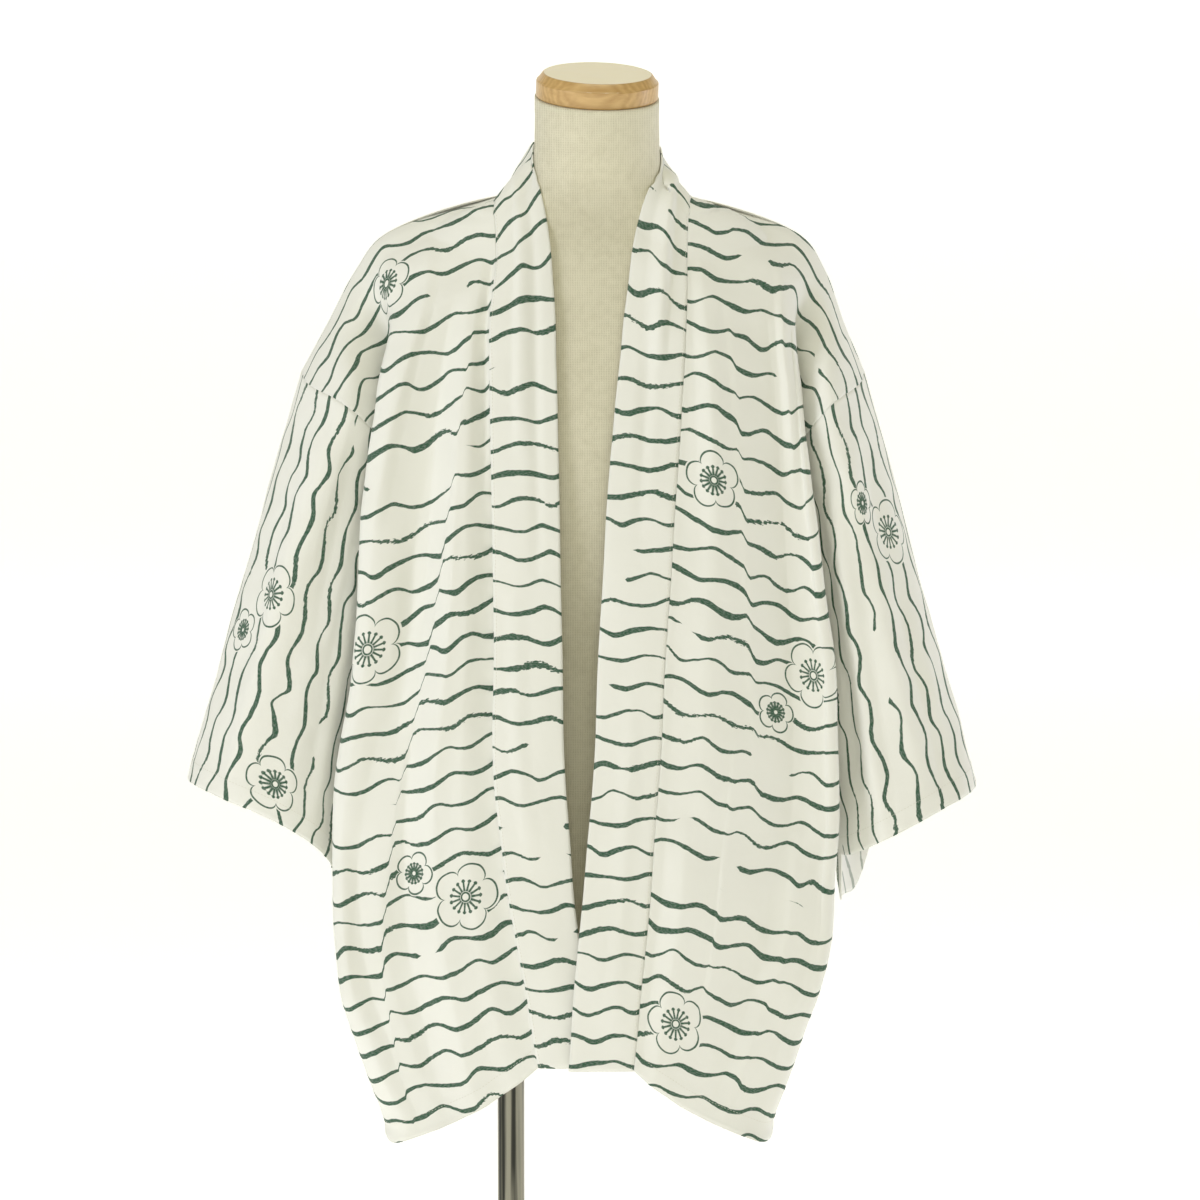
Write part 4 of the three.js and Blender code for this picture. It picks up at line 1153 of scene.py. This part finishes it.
def cuff_points(side, rounds):
    """The lower edge of a sleeve; rounds runs once round it from its outer end by the front."""
    cuff, squareness = CUFFS[side], CUFF["squareness"]
    angle = rounds * 2 * math.pi
    middle, half = (cuff["outer"] + cuff["inner"]) / 2, (cuff["outer"] - cuff["inner"]) / 2
    x = middle + half * squared(np.cos(angle), squareness)
    y = -squared(np.sin(angle), squareness) * np.where(np.sin(angle) > 0, cuff["front"], cuff["back"])
    share = np.clip((x - cuff["inner"]) / (cuff["outer"] - cuff["inner"]), 0, 1)
    in_front = np.sin(angle) > 0.02
    start = cuff["inner_z"] + np.where(in_front, cuff["front_lift"], 0)
    rise = share ** np.where(in_front, cuff["front_rise"], CUFF["rise"])
    if cuff["front_lift"]:
        flap = smooth((share - CUFF["flap_from"]) / (CUFF["flap"] - CUFF["flap_from"]))
        rise *= np.where(in_front, 1, flap)
    return np.stack([SIGN[side] * x, y, start + (cuff["outer_z"] - start) * rise], -1)


def coat_sleeve(side):
    """A tube from the armhole's edges to the cuff; signed is the way round from the top fold."""
    armhole, steps = COAT["armhole"], DOWN_STEPS["armhole"]
    front = FRONTS[side][0][: steps + 1, -1]
    behind = back_points[: steps + 1, 0 if side == "left" else -1]
    edge = np.concatenate([front[::-1], behind[1:]])[None, :-1]
    distance = np.linspace(0, armhole, steps + 1)
    signed = np.concatenate([distance[::-1], -distance[1:]])[:-1]
    rounds = np.where(signed >= 0, signed, 2 * armhole + signed) / (2 * armhole)
    along = np.linspace(0, 1, CUFF["steps"] + 1)[:, None, None]
    points = edge + (cuff_points(side, rounds)[None] - edge) * along
    lapped = lambda grid: np.concatenate([grid[:, -1:], grid, grid[:, :1]], axis=1)
    ring_normals = lambda grid: sheet_normals(lapped(grid))[:, 1:-1]
    normals = ring_normals(points)
    outward = np.sign(((points - points.mean(1, keepdims=True)) * normals).sum())
    lengths = np.broadcast_to(along[..., 0] * CUFF["length"], points.shape[:2])
    lift = creased(rounds, lengths, SLEEVE_FOLDS[side])[0]
    lift += rippled(signed[None], lengths, SLEEVE_RIPPLES[side])
    lift *= smooth(lengths / CUFF["loose_from_armhole"])
    lift *= smooth((armhole - np.abs(signed)) / CUFF["loose_from_underarm"])
    points = points + normals * (outward * lift)[..., None]
    uv = np.stack([lengths * MM, np.broadcast_to(signed * MM, lengths.shape)], -1)
    closing = np.stack([lengths[:, :1] * MM, np.full_like(lengths[:, :1], -armhole * MM)], -1)
    return points, outward * ring_normals(points), uv, closing, CUFF["length"] - lengths


SLEEVES = {side: coat_sleeve(side) for side in SIGN}
for side, (points, normals, uv, closing, to_cuff) in SLEEVES.items():
    cotton = both_faces(f"sleeve_{side}_cotton", SLEEVE_BLOSSOMS[side], SLEEVE_PRINT[side])
    sleeve = wall(f"coat_sleeve_{side}", points, normals, uv, hem_layers(to_cuff), cotton, True, closing)
    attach(sleeve, "root")
    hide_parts(f"sleeve_{side}")

# ---------------------------------------------------------------- collar
# One long band folded double, sewn to both front edges and round the neck from hem to hem, and
# edge-stitched along the seam. It stands up round the neck and lies flat on the chest.
COLLAR_EDGE = table(
    "down right left before right_rise left_rise",
    [0, 62.5, 58, 2, 52, 44],
    [45, 57, 51, 26, 46, 39],
    [110, 47, 37, 70, 37, 34],
    [160, 41, 28, 93, 15, 14],
    [220, 39, 21, 108, 5, 5],
    [300, 37, 13, 119, 1, 1],
    [460, 34, 3, 126, 0, 0],
    [620, 30, -4.5, 130, 0, 0],
    [780, 15, -19, 133, 0, 0],
    [922, -14, -30, 134, 0, 0],
)
BAND = {"layers": 3.2, "strips": 24, "clear_of_form": 1.0, "over": 0.1, "roll": 1.6, "neck_depth": 66,
        "neck_rise": 2, "at_seam": 0.55, "seam_width": 0.06, "at_fold": 0.45, "fold_from": 0.93}
COLLAR_RIPPLES = ((31, 60, 1.3),)
COLLAR_PRINT = (0.47, 0.013)
# Stands for a distance down on the stretches of band that a side's folds don't reach.
OUT_OF_REACH = -60.0
COLLAR_FOLDS = {
    "right": fold_table(
        [0.5, 20, 0.42, 300, 3.5, 0.12, 0.22],
        [0.72, 70, 0.66, 420, -2.5, 0.16, 0.12],
        [0.3, 420, 0.4, 700, 2, 0.16, 0.2],
    ),
    "left": fold_table(
        [0.42, 0, 0.36, 210, 7, 0.08, 0.34, 2],
        [0.6, 120, 0.5, 380, -2.5, 0.16, 0.18],
        [0.5, 520, 0.36, 860, 2, 0.2, 0.2],
    ),
}


def collar_rows():
    """Seam and free-edge points from the right front's hem round the neck to the left front's, and how far
    down each side they lie."""
    seams, edges = {}, {}
    downs = downs_at(np.array([0.0]))[:, 0]
    for side in SIGN:
        seam = FRONTS[side][0][:, 0]
        over = read(BEFORE, "over", downs) if side == "left" else 0
        x = SIGN[side] * read(COLLAR_EDGE, side, downs)
        rise = read(COLLAR_EDGE, side + "_rise", downs)
        seams[side] = seam
        edges[side] = np.stack([x, -read(COLLAR_EDGE, "before", downs) - over, seam[:, 2] + rise], 1)
    neck = back_points[0, back_places < 0][::-1]
    on_right = neck[:, 0] < 0
    first = {name: column[0] for name, column in COLLAR_EDGE.items()}
    seam_reach = np.where(on_right, REACH["right"]["seam"][0], REACH["left"]["seam"][0])
    turn = np.arccos(np.clip(np.abs(neck[:, 0]) / seam_reach, 0, 1))
    own = np.where(on_right, first["right_rise"], first["left_rise"])
    rise = own + (first["right_rise"] - own + BAND["neck_rise"]) * np.sin(turn)
    neck_edge = np.stack([np.where(on_right, -first["right"], first["left"]) * np.cos(turn),
                          BAND["neck_depth"] * np.sin(turn) - first["before"], COAT["shoulder_z"] + rise], 1)
    seam = np.concatenate([seams["right"][::-1], neck, seams["left"]])
    edge = np.concatenate([edges["right"][::-1], neck_edge, edges["left"]])
    behind, away = np.full(len(neck), OUT_OF_REACH), np.full(len(downs), OUT_OF_REACH)
    return seam, edge, {"right": np.concatenate([downs[::-1], behind, away]),
                        "left": np.concatenate([away, behind, downs])}


def coat_collar():
    seam, edge, downs = collar_rows()
    share = np.linspace(0, 1, BAND["strips"] + 1)[None]
    points = settle(seam[:, None] + (edge - seam)[:, None] * share[..., None], BAND["clear_of_form"])
    normals = sheet_normals(points)
    seam_lengths = np.broadcast_to(arc(points, 0)[:, :1], points.shape[:2])
    widths = arc(points, 1)
    crown = np.sin(share * math.pi)
    lift = crown * BAND["roll"] + rippled(widths, seam_lengths, COLLAR_RIPPLES) * crown**0.5 + BAND["over"]
    for side in SIGN:
        folded, lean, _ = creased(share, downs[side][:, None], COLLAR_FOLDS[side])
        reached = downs[side][:, None] > OUT_OF_REACH
        lift = lift + folded * reached
        points = points - np.array([SIGN[side], 0, 0]) * (lean * reached)[..., None]
    points = settle(points + normals * lift[..., None], BAND["clear_of_form"])
    thinner = (BAND["at_seam"] * smooth(1 - share / BAND["seam_width"])
               + BAND["at_fold"] * smooth((share - BAND["fold_from"]) / (1 - BAND["fold_from"])))
    uv = np.stack([widths * MM, seam_lengths * MM], -1)
    return points, sheet_normals(points), uv, np.broadcast_to(BAND["layers"] * (1 - thinner), widths.shape)


collar_points, collar_normals, collar_uv, collar_layers = coat_collar()
collar_cotton = both_faces("collar_cotton", [], COLLAR_PRINT)
collar = wall("coat_collar", collar_points, collar_normals, collar_uv, collar_layers, collar_cotton)
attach(collar, "root")
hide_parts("collar")

# ---------------------------------------------------------------- stitches
# Lockstitch in off-white cotton thread: along the collar beside its seam, and along the turned-up hems and
# cuffs. Each stitch is a short round-ended piece of thread that dips into the cloth at both ends.
THREAD = {"pitch": 3.4, "length": 2.3, "radius": 0.19, "proud": 0.04, "from_fold": 2.5, "from_seam": 1}


def thread_material():
    """Off-white cotton thread, with the fine light and dark of its twist."""
    made, tree, shader = new_material("sewing_thread")
    twist = noise(tree, object_place(tree), Scale=1800)
    colour = shaded(tree, twist, (0.0, (0.60, 0.58, 0.48)), (1.0, (0.84, 0.82, 0.73)))
    finish_surface(tree, shader, colour, twist, (0.3, 0.0002), twist, (0.6, 0.8))
    return made


def stitch_nodes(material):
    """Stitches at an even pitch along a line of points that carries the cloth's outward direction."""
    tree = bpy.data.node_groups.new("stitches_along_a_line", "GeometryNodeTree")
    tree.interface.new_socket("Line", in_out="INPUT", socket_type="NodeSocketGeometry")
    for label in ("Pitch", "Length", "Radius"):
        tree.interface.new_socket(label, in_out="INPUT", socket_type="NodeSocketFloat")
    tree.interface.new_socket("Stitches", in_out="OUTPUT", socket_type="NodeSocketGeometry")
    given, result = tree.nodes.new("NodeGroupInput").outputs, tree.nodes.new("NodeGroupOutput").inputs
    called = {"Name": "outward"}
    outward = node(tree, "GeometryNodeInputNamedAttribute", data_type="FLOAT_VECTOR", named=called)
    curve = node(tree, "GeometryNodeMeshToCurve", given["Line"])
    spaced = {"Curve": curve, "Length": given["Pitch"]}
    even = node(tree, "GeometryNodeResampleCurve", mode="LENGTH", named=spaced)
    tangent = node(tree, "GeometryNodeInputTangent")
    along = node(tree, "FunctionNodeAlignRotationToVector", axis="X", named={"Vector": tangent})
    upright = {"Rotation": along, "Vector": outward}
    facing = node(tree, "FunctionNodeAlignRotationToVector", axis="Z", pivot_axis="X", named=upright)
    bead = node(tree, "GeometryNodeMeshUVSphere", named={"Segments": 8, "Rings": 6, "Radius": 1.0})
    size = node(tree, "ShaderNodeCombineXYZ", given["Length"], given["Radius"], given["Radius"])
    beads = {"Points": even, "Instance": bead, "Rotation": facing, "Scale": size}
    placed = node(tree, "GeometryNodeInstanceOnPoints", named=beads)
    real = node(tree, "GeometryNodeRealizeInstances", placed)
    smooth_beads = node(tree, "GeometryNodeSetShadeSmooth", real)
    thread = {"Geometry": smooth_beads, "Material": material}
    linked(tree, node(tree, "GeometryNodeSetMaterial", named=thread), result["Stitches"])
    return tree


def sewn(name, points, outward, tree):
    """A piece of many stitches along a line of points with their outward directions, in millimetres."""
    mesh = bpy.data.meshes.new(name + "_line")
    mesh.from_pydata([tuple(p * MM) for p in points], [(i, i + 1) for i in range(len(points) - 1)], [])
    stored = mesh.attributes.new("outward", "FLOAT_VECTOR", "POINT")
    stored.data.foreach_set("vector", np.array(outward, dtype=np.float32).ravel())
    line = bpy.data.objects.new(name + "_line", mesh)
    scene.collection.objects.link(line)
    modifier = line.modifiers.new("stitches", "NODES")
    modifier.node_group = tree
    values = {"Pitch": THREAD["pitch"], "Length": THREAD["length"] / 2, "Radius": THREAD["radius"]}
    for item in tree.interface.items_tree:
        if item.item_type == "SOCKET" and item.name in values:
            modifier[item.identifier] = values[item.name] * MM
    evaluated = line.evaluated_get(bpy.context.evaluated_depsgraph_get())
    made = bpy.data.objects.new(name, bpy.data.meshes.new_from_object(evaluated))
    made.data.name = name
    bpy.data.objects.remove(line)
    scene.collection.objects.link(made)
    return made


def on_cloth(points, normals, layers):
    """A line on the outer face of the cloth."""
    half = CLOTH["layer"] * np.asarray(layers)[..., None] / 2
    return points + normals * (half + THREAD["proud"]), normals


def level_line(points, normals, to_edge, distance):
    """The line at a distance from the lower edge of a grid, on its outer face."""
    picked, facing = [], []
    for column in range(points.shape[1]):
        order = np.argsort(to_edge[:, column])
        edge, p, n = to_edge[order, column], points[order, column], normals[order, column]
        picked.append([np.interp(distance, edge, p[:, k]) for k in range(3)])
        facing.append([np.interp(distance, edge, n[:, k]) for k in range(3)])
    return on_cloth(np.array(picked), np.array(facing), hem_layers(distance))


THREAD_NODES = stitch_nodes(thread_material())
by_seam = np.s_[:, THREAD["from_seam"]]
hem_at = CLOTH["turn_up"] - THREAD["from_fold"]
collar_line = on_cloth(collar_points[by_seam], collar_normals[by_seam], collar_layers[by_seam])
stitched = {"stitches_collar": collar_line,
            "stitches_hem_back": level_line(back_points, back_normals, back_to_hem, hem_at)}
for side in SIGN:
    points, normals, _, to_hem = FRONTS[side]
    stitched[f"stitches_hem_{side}"] = level_line(points, normals, to_hem, hem_at)
    points, normals, _, _, to_cuff = SLEEVES[side]
    stitched[f"stitches_cuff_{side}"] = level_line(points, normals, to_cuff, hem_at)
for name, line in stitched.items():
    piece = sewn(name, *line, THREAD_NODES)
    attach(piece, "root")
